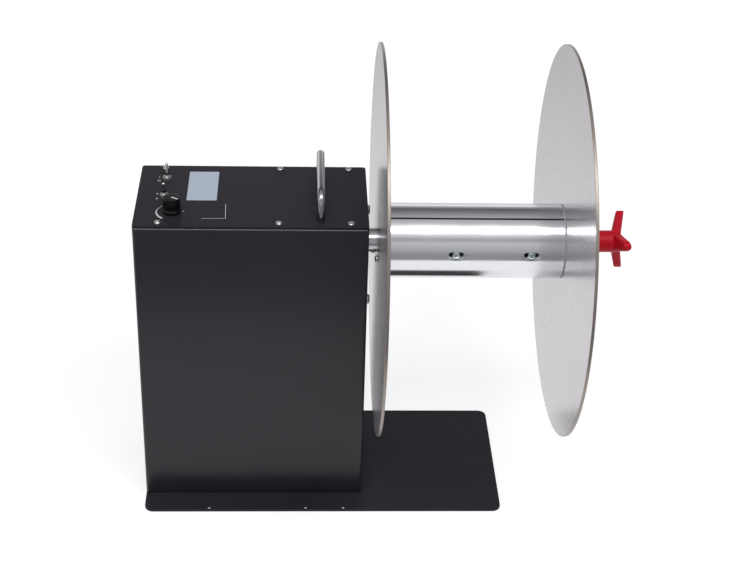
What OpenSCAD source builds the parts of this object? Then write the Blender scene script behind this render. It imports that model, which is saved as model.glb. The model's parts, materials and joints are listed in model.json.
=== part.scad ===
// Label rewinder: a sheet-steel drive housing on a base plate turns a spindle with an expanding
// three-leaf core and two large flanges. The outer flange is held by a three-arm wing nut.
// Millimetres. The origin is the centre of the base plate's underside, +X runs along the spindle
// to the wing nut, +Y to the back and +Z up.

/* [Base plate] */
// Width of the base plate, along the spindle
base_w = 378; // [340:1:460]
// Depth of the base plate, front to back
base_d = 178; // [165:1:240]
// Thickness of the base plate
base_t = 3; // [3:0.5:6]
// Radius of the base plate's corners
base_corner_r = 9; // [4:1:16]
// Part of the base plate that shows in front of the housing
front_ledge = 28; // [20:1:34]
// Radius of the holes along the front edge
ledge_hole_r = 2; // [1.5:0.25:3]
// Distance of those holes from the front edge
ledge_hole_inset = 4.3; // [4:0.1:12]
// Distance of the first hole from the base plate's left end
ledge_hole_start = 68; // [40:1:90]
// Distance from the first hole to the second
ledge_hole_step = 102; // [60:1:120]
// Distance from the second hole to the third
ledge_hole_last_step = 40; // [20:1:60]

/* [Housing] */
// Width of the housing, along the spindle
housing_w = 230; // [215:1:260]
// Depth of the housing, front to back
housing_d = 130; // [126:1:136]
// Height from the base plate's top to the lid's top
housing_h = 327; // [322:1:380]
// Thickness of the housing's sheet steel
sheet_t = 1.5; // [1:0.1:2.5]
// Thickness of the lid
lid_t = 2; // [1.5:0.5:4]
// Step from the front and back walls to the lid's edges
lid_step = 1.2; // [0.5:0.1:2]
// Outer radius of the housing's bends and of the lid's corners
bend_r = 3.5; // [3:0.5:6]
// Outer radius of the bends between the front and back walls and their lips
lip_bend_r = 2.2; // [2:0.1:3]
// Width of the inward lips that take the lid and base screws
lip_w = 14; // [13:0.5:16]
// Distance of the lid screws from the front and back edges
lid_screw_inset = 8; // [7:0.5:9]
// Distance of the left lid screws from the left wall
lid_screw_left = 24.5; // [18:0.5:36]
// Distance of the middle lid screws from the left wall
lid_screw_mid = 142; // [120:1:165]
// Distance of the right lid screws from the right wall
lid_screw_right = 17.5; // [12:0.5:24]
// Distance of the base screws from the side walls
base_screw_inset = 34; // [26:1:60]

/* [Carry handle] */
// Distance between the handle's legs
handle_pitch = 100; // [80:1:110]
// Height of the handle over the lid
handle_h = 31; // [28:1:45]
// Diameter of the handle's rod
handle_rod_d = 8; // [7.5:0.5:10]
// Bend radius of the handle's rod at its centre line
handle_bend_r = 12; // [9:0.5:16]
// Distance of the handle from the left wall
handle_x = 183; // [160:1:200]

/* [Controls] */
// Distance of the two switches from the left wall
switch_x = 27; // [20:0.5:34]
// Distance of the power switch behind the spindle
power_switch_y = 35; // [28:0.5:40]
// Distance of the direction switch in front of the spindle
direction_switch_y = 2.5; // [0:0.5:10]
// Lean of a switch lever to each side
lever_lean = 12; // [8:1:14]
// Length of a switch lever over its pivot
lever_len = 14.5; // [12:0.5:18]
// Distance of the torque knob from the left wall
knob_x = 37; // [34:0.5:46]
// Distance of the torque knob in front of the spindle
knob_y = 34.5; // [30:0.5:38]
// Diameter of the torque knob
knob_d = 18; // [15:0.5:24]
// Height of the torque knob
knob_h = 16; // [13:0.5:22]
// Direction of the knob's pointer, from +X
knob_pointer_angle = -33; // [-40:1:30]

/* [Spindle] */
// Height of the spindle over the base plate's top
axle_h = 277; // [268:1:282]
// Diameter of the spindle shaft
shaft_d = 20; // [16:0.5:22]
// Diameter of the shaft's threaded nose
nose_d = 12; // [10:0.5:14]
// Length of the nose that reaches into the wing nut
nose_reach = 26; // [20:1:28]
// Radial clearance of running and sliding fits
fit_gap = 0.04; // [0.02:0.01:0.08]
// Radial clearance of pieces that are fixed together
seat_gap = 0.02; // [0.01:0.01:0.05]

/* [Flanges] */
// Diameter of the two flanges
flange_d = 400; // [320:5:420]
// Thickness of the flanges
flange_t = 3; // [2.5:0.5:5]
// Free width between the flanges
roll_w = 185.5; // [170:0.5:240]
// Gap between the housing's right wall and the inner flange
wall_gap = 11; // [10:0.5:20]

/* [Core chuck] */
// Diameter of the core when it is expanded
core_d = 76.2; // [74:0.1:80]
// Wall of a core leaf
leaf_wall = 4; // [3.5:0.1:5]
// Slit that is left between two leaves when they are drawn in
slit_closed = 0.5; // [0.4:0.1:2]
// Distance of the first guide screws from the inner flange
guide_first = 75.5; // [60:0.5:90]
// Distance from the first guide screws to the second
guide_step = 76; // [55:0.5:85]
// Length of a guide slot in the leaf's face
slot_len = 18.5; // [18.5:0.5:24]
// Width of a guide slot in the leaf's face
slot_w = 9.6; // [9:0.2:11]
// Way that the leaves travel along the spindle to let a core go
leaf_travel = 5; // [3:0.5:5]
// Loss of core radius over that travel
leaf_drop = 1; // [0.6:0.1:1]
// Angle of the first row of guide screws over the front
guide_angle = 4.5; // [0:0.5:20]
// Depth of a guide slot's wide part
pocket_depth = 4.2; // [4:0.1:4.4]
// Diameter of the pressure plate at the core's outer end
pressure_d = 72; // [71:0.2:72.6]
// Thickness of the pressure plate and of the pad around it
pressure_t = 1; // [0.8:0.1:2]
// Outer diameter of the pad on the outer flange
pad_d = 75; // [74.5:0.1:75.2]

/* [Wing nut] */
// Diameter of the wing nut's hub
nut_hub_d = 22.5; // [20:0.5:26]
// Length of the wing nut's hub below its arms
nut_hub_len = 26.5; // [24:0.5:36]
// Reach of the arms from the axis
nut_arm_reach = 33.5; // [30:0.5:40]
// Thickness of the arms along the axis
nut_arm_t = 10; // [8:0.5:12]
// Outward sweep of the arm tips
nut_arm_sweep = 8; // [4:0.5:10]
// Angle of the first arm over the front
nut_arm_angle = 20; // [0:1:60]
// Length of the outer flange's hub
outer_hub_len = 22; // [18:0.5:28]

/* [Drive] */
// Module of the gears
gear_module = 1; // [0.9:0.05:1.1]
// Teeth of the pinion on the motor
pinion_teeth = 18; // [17:1:20]
// Teeth of the gear on the spindle
gear_teeth = 54; // [50:1:54]
// Width of the gears
gear_w = 8; // [6:1:12]
// Radius of the round drive plates
drive_plate_r = 60; // [58:0.5:61]
// Thickness of the drive plates and width of the bearings
drive_plate_t = 9; // [8:0.5:12]
// Depth of the drive plates' centre below the spindle
drive_drop = 17; // [15:0.5:17]
// Radius of the circle of three pillars
pillar_circle_r = 52; // [52:0.5:54]
// Length of the pillars between the drive plates
pillar_len = 45; // [40:1:55]
// Outer diameter of the spindle bearings
bearing_d = 37; // [34:0.5:42]
// Diameter of the gear motor's head
motor_d = 43; // [42:0.5:44]
// Length of the gear motor
motor_len = 95; // [75:1:100]

/* [Hidden] */
$fn = 96;
cut = 1;            // extra reach of a cutting tool past the face it leaves
moving_gap = 0.3;   // clearance between pieces that pass each other

// Places of the housing and the spindle
wall_left = -base_w / 2;
wall_right = wall_left + housing_w;
wall_front = -base_d / 2 + front_ledge;
wall_back = wall_front + housing_d;
housing_cx = (wall_left + wall_right) / 2;
housing_cy = (wall_front + wall_back) / 2;
lid_top = base_t + housing_h;
lid_z = lid_top - lid_t;
axle_y = housing_cy;
axle_z = base_t + axle_h;
shaft_r = shaft_d / 2;
nose_r = nose_d / 2;

// Places along the spindle
inner_flange_x = wall_right + wall_gap;
roll_x0 = inner_flange_x + flange_t;
outer_flange_x = roll_x0 + roll_w;
outer_hub_x = outer_flange_x + flange_t;
nut_x = outer_hub_x + outer_hub_len;
nose_shoulder = 3;
nose_x = nut_x - nose_shoulder;
nose_end = nut_x + nose_reach;
nut_arm_x = nut_x + nut_hub_len;

// Core leaves and the cones that carry them
core_r = core_d / 2;
leaf_in_r = core_r - leaf_wall;
leaf_end_gap = 0.6;
leaf_x0 = roll_x0 + leaf_end_gap;
leaf_x1 = outer_flange_x - pressure_t;
leaf_slit = slit_closed + 2 * leaf_drop * sin(60);
ramp = leaf_drop / leaf_travel;
cone_len = 20;
pad_over = 6;
pad_len = cone_len + pad_over;
pad_step = 0.3;
pad_r = leaf_in_r - pad_step - ramp * pad_len / 2;
cone_r = pad_r - moving_gap;
guide_x = [roll_x0 + guide_first, roll_x0 + guide_first + guide_step];
leaf_count = 3;
guide_angles = [for (k = [0:leaf_count - 1]) guide_angle + k * 360 / leaf_count];
guide_head_r = 4;
guide_head_h = 2.4;
guide_shank_r = 2;
guide_depth = 8;
pocket_floor_r = core_r - pocket_depth;
guide_seat_r = pocket_floor_r + moving_gap;
shank_play = 0.5;
shank_slot_w = 2 * (guide_shank_r + shank_play);
shank_slot_len = 2 * (leaf_travel + guide_shank_r + shank_play);

// Inner hub, outer hub and their screws
hub_collar_r = 12.5;
hub_wall_gap = 2.5;
hub_collar_len = wall_gap - hub_wall_gap;
hub_flange_r = 30;
hub_flange_t = 8;
hub_screw_r = 20;
hub_screw_angles = [14, 134, 254];
drive_screw_angle = -46;
blind_skin = 0.8;
hub_thread_r = 2;
hub_flat_head_r = 4;
set_screw_r = 2;
set_screw_proud = 1.2;
cone_set_screw_r = 1.5;
outer_hub_flange_r = 28;
outer_hub_flange_t = 6;
outer_hub_boss_r = 17;
wall_bore_r = hub_collar_r + 3;
hub_edge = 1;

// Drive between the two round plates
drive_z = axle_z - drive_drop;
front_plate_x = wall_right - sheet_t - drive_plate_t;
rear_plate_x = front_plate_x - pillar_len - drive_plate_t;
pillar_r = 6;
pillar_thread_r = 2.5;
gear_offset = 16;
gear_x = rear_plate_x + drive_plate_t + gear_offset;
pinion_extra = 1.5;
pinion_w = gear_w + 2 * pinion_extra;
pinion_x = gear_x - pinion_extra;
motor_z = axle_z - gear_module * (pinion_teeth + gear_teeth) / 2;
motor_shaft_r = 4;
motor_pilot_r = 9;
motor_pilot_h = 4;
motor_shaft_depth = 14;
motor_screw_circle_r = 17;
motor_screw_angles = [60, 180, 300];
shaft_tail = 14;
shaft_x0 = rear_plate_x - shaft_tail;

// Controls in the lid
switch_px = wall_left + switch_x;
power_py = axle_y + power_switch_y;
direction_py = axle_y - direction_switch_y;
knob_px = wall_left + knob_x;
knob_py = axle_y - knob_y;
bushing_r = 3;
bushing_h = 5.5;
bushing_bore_r = 2.4;
switch_nut_across = 8;
pot_nut_across = 10;
lever_ball_r = bushing_bore_r - moving_gap;
lever_pivot_depth = 3;
lever_pivot_z = lid_top + bushing_h - lever_pivot_depth;
pot_bushing_r = 3.5;
pot_bushing_h = 5;
pot_shaft_r = 3;
nut_plate_h = 2;
washer_t = 0.5;
knob_lift = 0.6;
knob_cap = 4;
knob_top_r = knob_d / 2 * 0.92;
knob_edge = 0.6;

// Screws
small_shank_r = 1.5;
lid_head_r = 3.4;
lid_head_h = 2.3;
rivet_nut_r = 3.2;
rivet_nut_h = 6;
rivet_neck_r = 2.4;
rivet_grip = rivet_nut_h - 1;
base_head_r = 3.4;
base_head_sink = 0.3;
handle_thread_r = 2.5;
handle_head_r = 4.5;
handle_head_h = 3;
handle_grip = 9;
pillar_grip = 10;
motor_head_r = 3;
motor_head_h = 2;
motor_grip = 7;
dome_head_r = 5;
dome_head_h = 3.2;

// Two-dimensional helpers

// Rectangle with round corners, centred
module round_rect(w, d, r) {
  square([w - 2 * r, d], center = true);
  square([w, d - 2 * r], center = true);
  for (sx = [-1, 1], sy = [-1, 1])
    translate([sx * (w / 2 - r), sy * (d / 2 - r)]) circle(r);
}

// Slot of the given length and width, centred, along x
module slot_shape(len, w) {
  square([len - w, w], center = true);
  for (s = [-1, 1]) translate([s * (len - w) / 2, 0]) circle(w / 2);
}

// Half of a low dome of radius r and height h, standing on the x axis
module dome_profile(r, h) {
  big_r = (r * r + h * h) / (2 * h);
  intersection() {
    translate([0, h - big_r]) circle(big_r);
    square([r, h]);
  }
}

// Placing helpers

// Puts a piece whose z axis is the spindle at x along the spindle
module on_axle(x) {
  translate([x, axle_y, axle_z]) rotate([0, 90, 0]) children();
}

// As on_axle, with the piece's x axis pointing outwards at angle a over the front
module spoke(x, a) {
  on_axle(x) rotate([0, 0, 270 - a]) children();
}

// The six lid screw places on the lid
module at_lid_screws(z) {
  for (px = [wall_left + lid_screw_left, wall_left + lid_screw_mid, wall_right - lid_screw_right])
    for (py = [wall_front + lid_screw_inset, wall_back - lid_screw_inset])
      translate([px, py, z]) children();
}

// The four base screw places
module at_base_screws(z) {
  for (px = [wall_left + base_screw_inset, wall_right - base_screw_inset])
    for (py = [wall_front + lid_screw_inset, wall_back - lid_screw_inset])
      translate([px, py, z]) children();
}

// The three pillars of the drive, seen along the spindle
module at_pillars(x) {
  for (a = [0, 120, 240])
    translate([x, axle_y + pillar_circle_r * sin(a), drive_z + pillar_circle_r * cos(a)])
      rotate([0, 90, 0]) children();
}

// The three screws that hold the gear motor
module at_motor_screws(x) {
  for (a = motor_screw_angles)
    translate([x, axle_y + motor_screw_circle_r * sin(a), motor_z + motor_screw_circle_r * cos(a)])
      rotate([0, 90, 0]) children();
}

// The two legs of the handle
module at_handle_legs(z) {
  for (s = [-1, 1]) translate([wall_left + handle_x, housing_cy + s * handle_pitch / 2, z]) children();
}

// Hardware

// Dome-head screw standing on z = 0 with its shank below
module dome_screw(head_r, head_h, shank_r, len) {
  difference() {
    union() {
      rotate_extrude() dome_profile(head_r, head_h);
      translate([0, 0, -len]) cylinder(r = shank_r, h = len);
    }
    translate([0, 0, head_h * 0.45]) cross_recess(head_r * 0.5, head_h);
  }
}

// Pan-head screw standing on z = 0 with its shank below
module pan_screw(head_r, head_h, shank_r, len) {
  difference() {
    union() {
      rotate_extrude()
        polygon([[0, 0], [head_r, 0], [head_r, head_h * 0.55], [head_r * 0.72, head_h], [0, head_h]]);
      translate([0, 0, -len]) cylinder(r = shank_r, h = len);
    }
    translate([0, 0, head_h * 0.45]) cross_recess(head_r * 0.52, head_h);
  }
}

// Countersunk screw whose flat head ends at z = 0, with its shank below
module flat_screw(head_r, shank_r, len) {
  difference() {
    union() {
      translate([0, 0, -(head_r - shank_r)]) cylinder(r1 = shank_r, r2 = head_r, h = head_r - shank_r);
      translate([0, 0, -len]) cylinder(r = shank_r, h = len);
    }
    translate([0, 0, -0.5 * head_r]) cross_recess(head_r * 0.55, head_r);
  }
}

module cross_recess(reach, h) {
  bar = reach * 0.4;
  translate([0, 0, h / 2]) cube([2 * reach, bar, h], center = true);
  translate([0, 0, h / 2]) cube([bar, 2 * reach, h], center = true);
}

// Countersink that takes a flat screw, its rim at z = 0
module countersink(head_r, shank_r) {
  clear_r = seat_gap;
  translate([0, 0, -(head_r - shank_r) - clear_r])
    cylinder(r1 = shank_r, r2 = head_r + clear_r, h = head_r - shank_r + clear_r);
  cylinder(r = head_r + clear_r, h = cut);
}

// Grub screw of radius r that fills a radial hole from r_in to r_out
module grub_screw(r_in, r_out, r) {
  rotate([0, 90, 0]) difference() {
    translate([0, 0, r_in]) cylinder(r = r, h = r_out - r_in);
    translate([0, 0, r_out - r]) cylinder(r = r * 0.55, h = r + cut, $fn = 6);
  }
}

// Hexagon nut of a switch bushing with its washer, standing on z = 0
module bushing_nut(bore_r, across, h) {
  difference() {
    union() {
      cylinder(r = across * 0.62, h = washer_t);
      translate([0, 0, washer_t]) rotate([0, 0, 90]) cylinder(d = across / cos(30), h = h, $fn = 6);
    }
    translate([0, 0, -cut]) cylinder(r = bore_r + seat_gap, h = h + washer_t + 2 * cut);
  }
}

// Involute gear outline. The tooth's half angle at radius r narrows as the involute unwinds
// from the base circle, and backlash thins each tooth.
gear_pressure = 20;
gear_backlash = 0.22;
function involute(a) = tan(a) * 180 / PI - a;
function tooth_half(teeth, base_r, pitch_r, r) =
  90 / teeth + involute(gear_pressure) - involute(acos(base_r / r)) - gear_backlash / 2 / pitch_r * 180 / PI;
function polar(r, a) = [r * cos(a), r * sin(a)];
module gear_shape(teeth) {
  pitch_r = gear_module * teeth / 2;
  base_r = pitch_r * cos(gear_pressure);
  root_r = pitch_r - 1.25 * gear_module;
  start_r = max(base_r, root_r + 0.1 * gear_module);
  tip_r = pitch_r + gear_module;
  flank = [for (i = [0:3]) start_r + (tip_r - start_r) * i / 3];
  polygon([
    for (t = [0:teeth - 1])
      let (mid = t * 360 / teeth)
        each concat(
          [polar(root_r, mid - tooth_half(teeth, base_r, pitch_r, start_r))],
          [for (r = flank) polar(r, mid - tooth_half(teeth, base_r, pitch_r, r))],
          [for (i = [3:-1:0]) polar(flank[i], mid + tooth_half(teeth, base_r, pitch_r, flank[i]))],
          [polar(root_r, mid + tooth_half(teeth, base_r, pitch_r, start_r))]
        )
  ]);
}

// Base and housing

module base_plate() {
  hole_y = -base_d / 2 + ledge_hole_inset;
  hole_x = -base_w / 2 + ledge_hole_start;
  color("#2b2a2e") difference() {
    linear_extrude(base_t) round_rect(base_w, base_d, base_corner_r);
    for (step = [0, ledge_hole_step, ledge_hole_step + ledge_hole_last_step])
      translate([hole_x + step, hole_y, -cut]) cylinder(r = ledge_hole_r, h = base_t + 2 * cut);
    at_base_screws(-cut) cylinder(r = small_shank_r + seat_gap, h = base_t + 2 * cut);
    at_base_screws(base_head_sink) mirror([0, 0, 1]) countersink(base_head_r, small_shank_r + seat_gap);
  }
}

// Block with upright bends of radius r, and bends of radius lip_r along its front and back edges
module bent_block(w, d, h, r, lip_r) {
  intersection() {
    linear_extrude(h) round_rect(w, d, r);
    translate([0, 0, h / 2]) rotate([90, 0, 90])
      linear_extrude(w + 2 * cut, center = true) round_rect(d, h, lip_r);
  }
}

// Four bent walls with inward lips at the front and back, top and bottom
module housing_shell() {
  wall_h = lid_z - base_t;
  in_w = housing_w - 2 * sheet_t;
  in_d = housing_d - 2 * sheet_t;
  window_d = housing_d - 2 * (sheet_t + lip_w);
  color("#2b2a2e") difference() {
    translate([housing_cx, housing_cy, base_t])
      bent_block(housing_w, housing_d, wall_h, bend_r, lip_bend_r);
    translate([housing_cx, housing_cy, base_t + sheet_t])
      bent_block(in_w, in_d, wall_h - 2 * sheet_t, bend_r - sheet_t, lip_bend_r - sheet_t);
    translate([housing_cx, housing_cy, base_t + wall_h / 2])
      cube([in_w, window_d, wall_h + 2 * cut], center = true);
    at_lid_screws(lid_z - sheet_t - cut) cylinder(r = rivet_neck_r, h = sheet_t + 2 * cut);
    at_base_screws(base_t - cut) cylinder(r = rivet_neck_r, h = sheet_t + 2 * cut);
    at_handle_legs(lid_z - sheet_t - cut) cylinder(r = handle_head_r + moving_gap, h = sheet_t + 2 * cut);
    on_axle(wall_right - sheet_t - cut) cylinder(r = wall_bore_r, h = sheet_t + 2 * cut);
    at_pillars(wall_right - sheet_t - cut) cylinder(r = pillar_thread_r + seat_gap, h = sheet_t + 2 * cut);
    inlet_place() translate([0, 0, -sheet_t - cut]) cylinder(r = inlet_r + seat_gap, h = sheet_t + 2 * cut);
  }
}

module base_screws() {
  color("#8d8f93") at_base_screws(base_head_sink)
    mirror([0, 0, 1]) flat_screw(base_head_r, small_shank_r, base_t + sheet_t + rivet_grip);
}

// Rivet nut: its neck sits in the lip's hole and its barrel behind the lip
module rivet_nut() {
  difference() {
    union() {
      translate([0, 0, -sheet_t]) cylinder(r = rivet_neck_r - seat_gap, h = sheet_t);
      translate([0, 0, -sheet_t - rivet_nut_h]) cylinder(r = rivet_nut_r, h = rivet_nut_h);
    }
    translate([0, 0, -sheet_t - rivet_nut_h - cut])
      cylinder(r = small_shank_r + seat_gap, h = sheet_t + rivet_nut_h + 2 * cut);
  }
}

module base_rivet_nuts() {
  color("#b9bbbe") at_base_screws(base_t) mirror([0, 0, 1]) rivet_nut();
}

module lid_rivet_nuts() {
  color("#b9bbbe") at_lid_screws(lid_z) rivet_nut();
}

module lid() {
  color("#302e34") difference() {
    translate([housing_cx, housing_cy, lid_z])
      linear_extrude(lid_t) round_rect(housing_w, housing_d - 2 * lid_step, bend_r);
    at_lid_screws(lid_z - cut) cylinder(r = small_shank_r + seat_gap, h = lid_t + 2 * cut);
    at_handle_legs(lid_z - cut) cylinder(r = handle_thread_r + seat_gap, h = lid_t + 2 * cut);
    for (py = [power_py, direction_py])
      translate([switch_px, py, lid_z - cut]) cylinder(r = bushing_r + seat_gap, h = lid_t + 2 * cut);
    translate([knob_px, knob_py, lid_z - cut]) cylinder(r = pot_bushing_r + seat_gap, h = lid_t + 2 * cut);
  }
}

module lid_screws() {
  color("#c9cacc") at_lid_screws(lid_top)
    pan_screw(lid_head_r, lid_head_h, small_shank_r, lid_t + sheet_t + rivet_grip);
}

// Bow of round rod: two legs, two quarter bends and the grip between them
module carry_handle() {
  rod_r = handle_rod_d / 2;
  grip_z = handle_h - rod_r;
  leg_h = grip_z - handle_bend_r;
  grip_len = handle_pitch - 2 * handle_bend_r;
  color("#c3c5c8") difference() {
    union() {
      at_handle_legs(lid_top) cylinder(r = rod_r, h = leg_h);
      for (s = [-1, 1])
        translate([wall_left + handle_x, housing_cy + s * grip_len / 2, lid_top + leg_h])
          rotate([90, 0, s * 90]) rotate_extrude(angle = 90) translate([handle_bend_r, 0]) circle(rod_r);
      translate([wall_left + handle_x, housing_cy - grip_len / 2, lid_top + grip_z])
        rotate([-90, 0, 0]) cylinder(r = rod_r, h = grip_len);
    }
    at_handle_legs(lid_top - cut) cylinder(r = handle_thread_r + seat_gap, h = leg_h + cut);
  }
}

module handle_screws() {
  color("#8d8f93") at_handle_legs(lid_z) mirror([0, 0, 1])
    pan_screw(handle_head_r, handle_head_h, handle_thread_r, lid_t + handle_grip);
}

// Controls

// Body of a toggle switch under the lid, with the bushing that comes up through it
module switch_body(py) {
  body = [8, 13, 10];
  tag = [0.8, 2, 4];
  tag_pitch = 4.7;
  translate([switch_px, py, 0]) difference() {
    union() {
      translate([-body[0] / 2, -body[1] / 2, lid_z - body[2]]) cube(body);
      translate([0, 0, lid_z - cut]) cylinder(r = bushing_r, h = lid_t + cut + bushing_h);
      for (s = [-1, 0, 1])
        translate([-tag[0] / 2, s * tag_pitch - tag[1] / 2, lid_z - body[2] - tag[2]])
          cube(tag + [0, 0, cut]);
    }
    translate([0, 0, lever_pivot_z - lever_ball_r - moving_gap])
      cylinder(r = bushing_bore_r, h = lid_top + bushing_h);
  }
}

module power_switch() { color("#3a3d42") switch_body(power_py); }
module direction_switch() { color("#3a3d42") switch_body(direction_py); }

module switch_nuts() {
  color("#c9cacc") for (py = [power_py, direction_py])
    translate([switch_px, py, lid_top]) bushing_nut(bushing_r, switch_nut_across, nut_plate_h);
}

// Bat-shaped lever on a ball, leaning by the given angle about x
module switch_lever(py, lean) {
  tip_r = 1.45;
  neck_r = 1.05;
  translate([switch_px, py, lever_pivot_z]) rotate([lean, 0, 0]) {
    sphere(r = lever_ball_r);
    cylinder(r1 = neck_r, r2 = tip_r, h = lever_len - tip_r);
    translate([0, 0, lever_len - tip_r]) sphere(r = tip_r);
  }
}

module power_lever() { color("#d5d6d8") switch_lever(power_py, -lever_lean); }
module direction_lever() { color("#d5d6d8") switch_lever(direction_py, lever_lean); }

// Potentiometer under the lid, with its bushing and terminals
module torque_control() {
  body_h = 8;
  body_r = 8;
  floor_t = 2;
  tag = [1.5, 6, 0.8];
  tag_pitch = 4;
  color("#4a4d3a") translate([knob_px, knob_py, 0]) difference() {
    union() {
      translate([0, 0, lid_z - body_h]) cylinder(r = body_r, h = body_h);
      translate([0, 0, lid_z - cut]) cylinder(r = pot_bushing_r, h = lid_t + cut + pot_bushing_h);
      for (s = [-1, 0, 1])
        translate([s * tag_pitch - tag[0] / 2, -body_r - tag[1] / 2, lid_z - body_h + floor_t]) cube(tag);
    }
    translate([0, 0, lid_z - body_h + floor_t])
      cylinder(r = pot_shaft_r + fit_gap, h = body_h + lid_t + pot_bushing_h);
  }
}

module torque_control_nut() {
  color("#c9cacc") translate([knob_px, knob_py, lid_top])
    bushing_nut(pot_bushing_r, pot_nut_across, nut_plate_h);
}

module torque_shaft() {
  shaft_depth = 5.5;
  shaft_z = lid_z - shaft_depth;
  color("#b9bbbe") translate([knob_px, knob_py, shaft_z])
    cylinder(r = pot_shaft_r, h = lid_top + knob_lift + knob_h - knob_cap - shaft_z);
}

// Knob with a fluted grip over a flared skirt, hollow over the bushing and its nut
module torque_knob() {
  knob_r = knob_d / 2;
  skirt_h = knob_h * 0.22;
  flutes = 18;
  flute_r = knob_r * 0.1;
  flute_z = skirt_h + 0.8;
  hollow_r = pot_nut_across * 0.7;
  hollow_h = pot_bushing_h + moving_gap;
  color("#1c1c1e") translate([knob_px, knob_py, lid_top + knob_lift]) difference() {
    rotate_extrude()
      polygon([
        [0, 0], [knob_r, 0], [knob_r, skirt_h * 0.6], [knob_r * 0.95, skirt_h],
        [knob_top_r, knob_h - knob_edge], [knob_top_r - knob_edge, knob_h], [0, knob_h]
      ]);
    for (i = [0:flutes - 1])
      rotate([0, 0, knob_pointer_angle + (i + 0.5) * 360 / flutes])
        translate([knob_r * 0.99, 0, flute_z]) cylinder(r = flute_r, h = knob_h);
    translate([0, 0, -cut]) cylinder(r = hollow_r, h = hollow_h + cut);
    cylinder(r = pot_shaft_r + seat_gap, h = knob_h - knob_cap);
    pointer_bar(seat_gap);
  }
}

// Bar from the knob's centre to the edge of its top, let into the top face
module pointer_bar(grow) {
  bar_w = 1.5;
  bar_t = 0.8;
  rotate([0, 0, knob_pointer_angle])
    translate([0, -bar_w / 2 - grow, knob_h - bar_t - grow])
      cube([knob_top_r - knob_edge, bar_w + 2 * grow, bar_t + 2 * grow]);
}

module knob_pointer() {
  color("#f2f2f0") translate([knob_px, knob_py, lid_top + knob_lift]) pointer_bar(0);
}

// Drive

// Round plate of the drive with the spindle's bearing seat
module drive_plate(x) {
  difference() {
    translate([x, axle_y, drive_z]) rotate([0, 90, 0]) cylinder(r = drive_plate_r, h = drive_plate_t);
    on_axle(x - cut) cylinder(r = bearing_d / 2 + seat_gap, h = drive_plate_t + 2 * cut);
    at_pillars(x - cut) cylinder(r = pillar_thread_r + seat_gap, h = drive_plate_t + 2 * cut);
  }
}

module front_drive_plate() { color("#a9abae") drive_plate(front_plate_x); }

module rear_drive_plate() {
  color("#a9abae") difference() {
    drive_plate(rear_plate_x);
    translate([rear_plate_x - cut, axle_y, motor_z]) rotate([0, 90, 0])
      cylinder(r = motor_pilot_r, h = drive_plate_t + 2 * cut);
    at_motor_screws(rear_plate_x - cut) cylinder(r = small_shank_r + seat_gap, h = drive_plate_t + 2 * cut);
  }
}

module drive_pillars() {
  thread_depth = 12;
  color("#b9bbbe") at_pillars(front_plate_x - pillar_len) difference() {
    cylinder(r = pillar_r, h = pillar_len);
    for (z = [-cut, pillar_len - thread_depth])
      translate([0, 0, z]) cylinder(r = pillar_thread_r + seat_gap, h = thread_depth + cut);
  }
}

// Dome-head screws on the outside of the right wall, into the pillars
module drive_plate_screws() {
  color("#c9cacc") at_pillars(wall_right)
    dome_screw(dome_head_r, dome_head_h, pillar_thread_r, sheet_t + drive_plate_t + pillar_grip);
}

module rear_plate_screws() {
  color("#c9cacc") at_pillars(rear_plate_x) mirror([0, 0, 1])
    pan_screw(handle_head_r, handle_head_h, pillar_thread_r, drive_plate_t + pillar_grip);
}

module bearing(x) {
  shield_r = (bearing_d / 2 + shaft_r) / 2;
  shield_w = 4.8;
  shield_sink = 0.6;
  color("#b4b6b9") on_axle(x) difference() {
    cylinder(r = bearing_d / 2, h = drive_plate_t);
    translate([0, 0, -cut]) cylinder(r = shaft_r + fit_gap, h = drive_plate_t + 2 * cut);
    for (z = [-cut, drive_plate_t - shield_sink])
      translate([0, 0, z]) difference() {
        cylinder(r = shield_r + shield_w / 2, h = shield_sink + cut);
        translate([0, 0, -cut]) cylinder(r = shield_r - shield_w / 2, h = shield_sink + 3 * cut);
      }
  }
}

module front_bearing() { bearing(front_plate_x); }
module rear_bearing() { bearing(rear_plate_x); }

// Gear head, motor can and end bell, bolted to the rear drive plate
module gear_motor() {
  head_len = motor_len * 0.34;
  bell_len = 8;
  can_step = 3;
  can_r = motor_d / 2 - can_step;
  tag = [2, 4, 5];
  thread_depth = 8;
  color("#6f7276") translate([rear_plate_x, axle_y, motor_z]) rotate([0, -90, 0]) difference() {
    union() {
      cylinder(r = motor_d / 2, h = head_len);
      translate([0, 0, head_len]) cylinder(r = can_r, h = motor_len - head_len - bell_len);
      translate([0, 0, motor_len - bell_len]) cylinder(r = can_r * 0.6, h = bell_len);
      for (s = [-1, 1])
        translate([s * can_r * 0.4 - tag[0] / 2, -tag[1] / 2, motor_len - bell_len])
          cube(tag + [0, 0, bell_len]);
      translate([0, 0, -motor_pilot_h]) cylinder(r = motor_pilot_r - seat_gap, h = motor_pilot_h + cut);
    }
    translate([0, 0, -motor_pilot_h - cut])
      cylinder(r = motor_shaft_r + fit_gap, h = motor_pilot_h + cut + motor_shaft_depth);
    for (a = motor_screw_angles)
      translate([motor_screw_circle_r * cos(a), motor_screw_circle_r * sin(a), -cut])
        cylinder(r = small_shank_r + seat_gap, h = thread_depth + cut);
  }
}

module motor_screws() {
  color("#c9cacc") at_motor_screws(rear_plate_x + drive_plate_t)
    pan_screw(motor_head_r, motor_head_h, small_shank_r, drive_plate_t + motor_grip);
}

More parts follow.
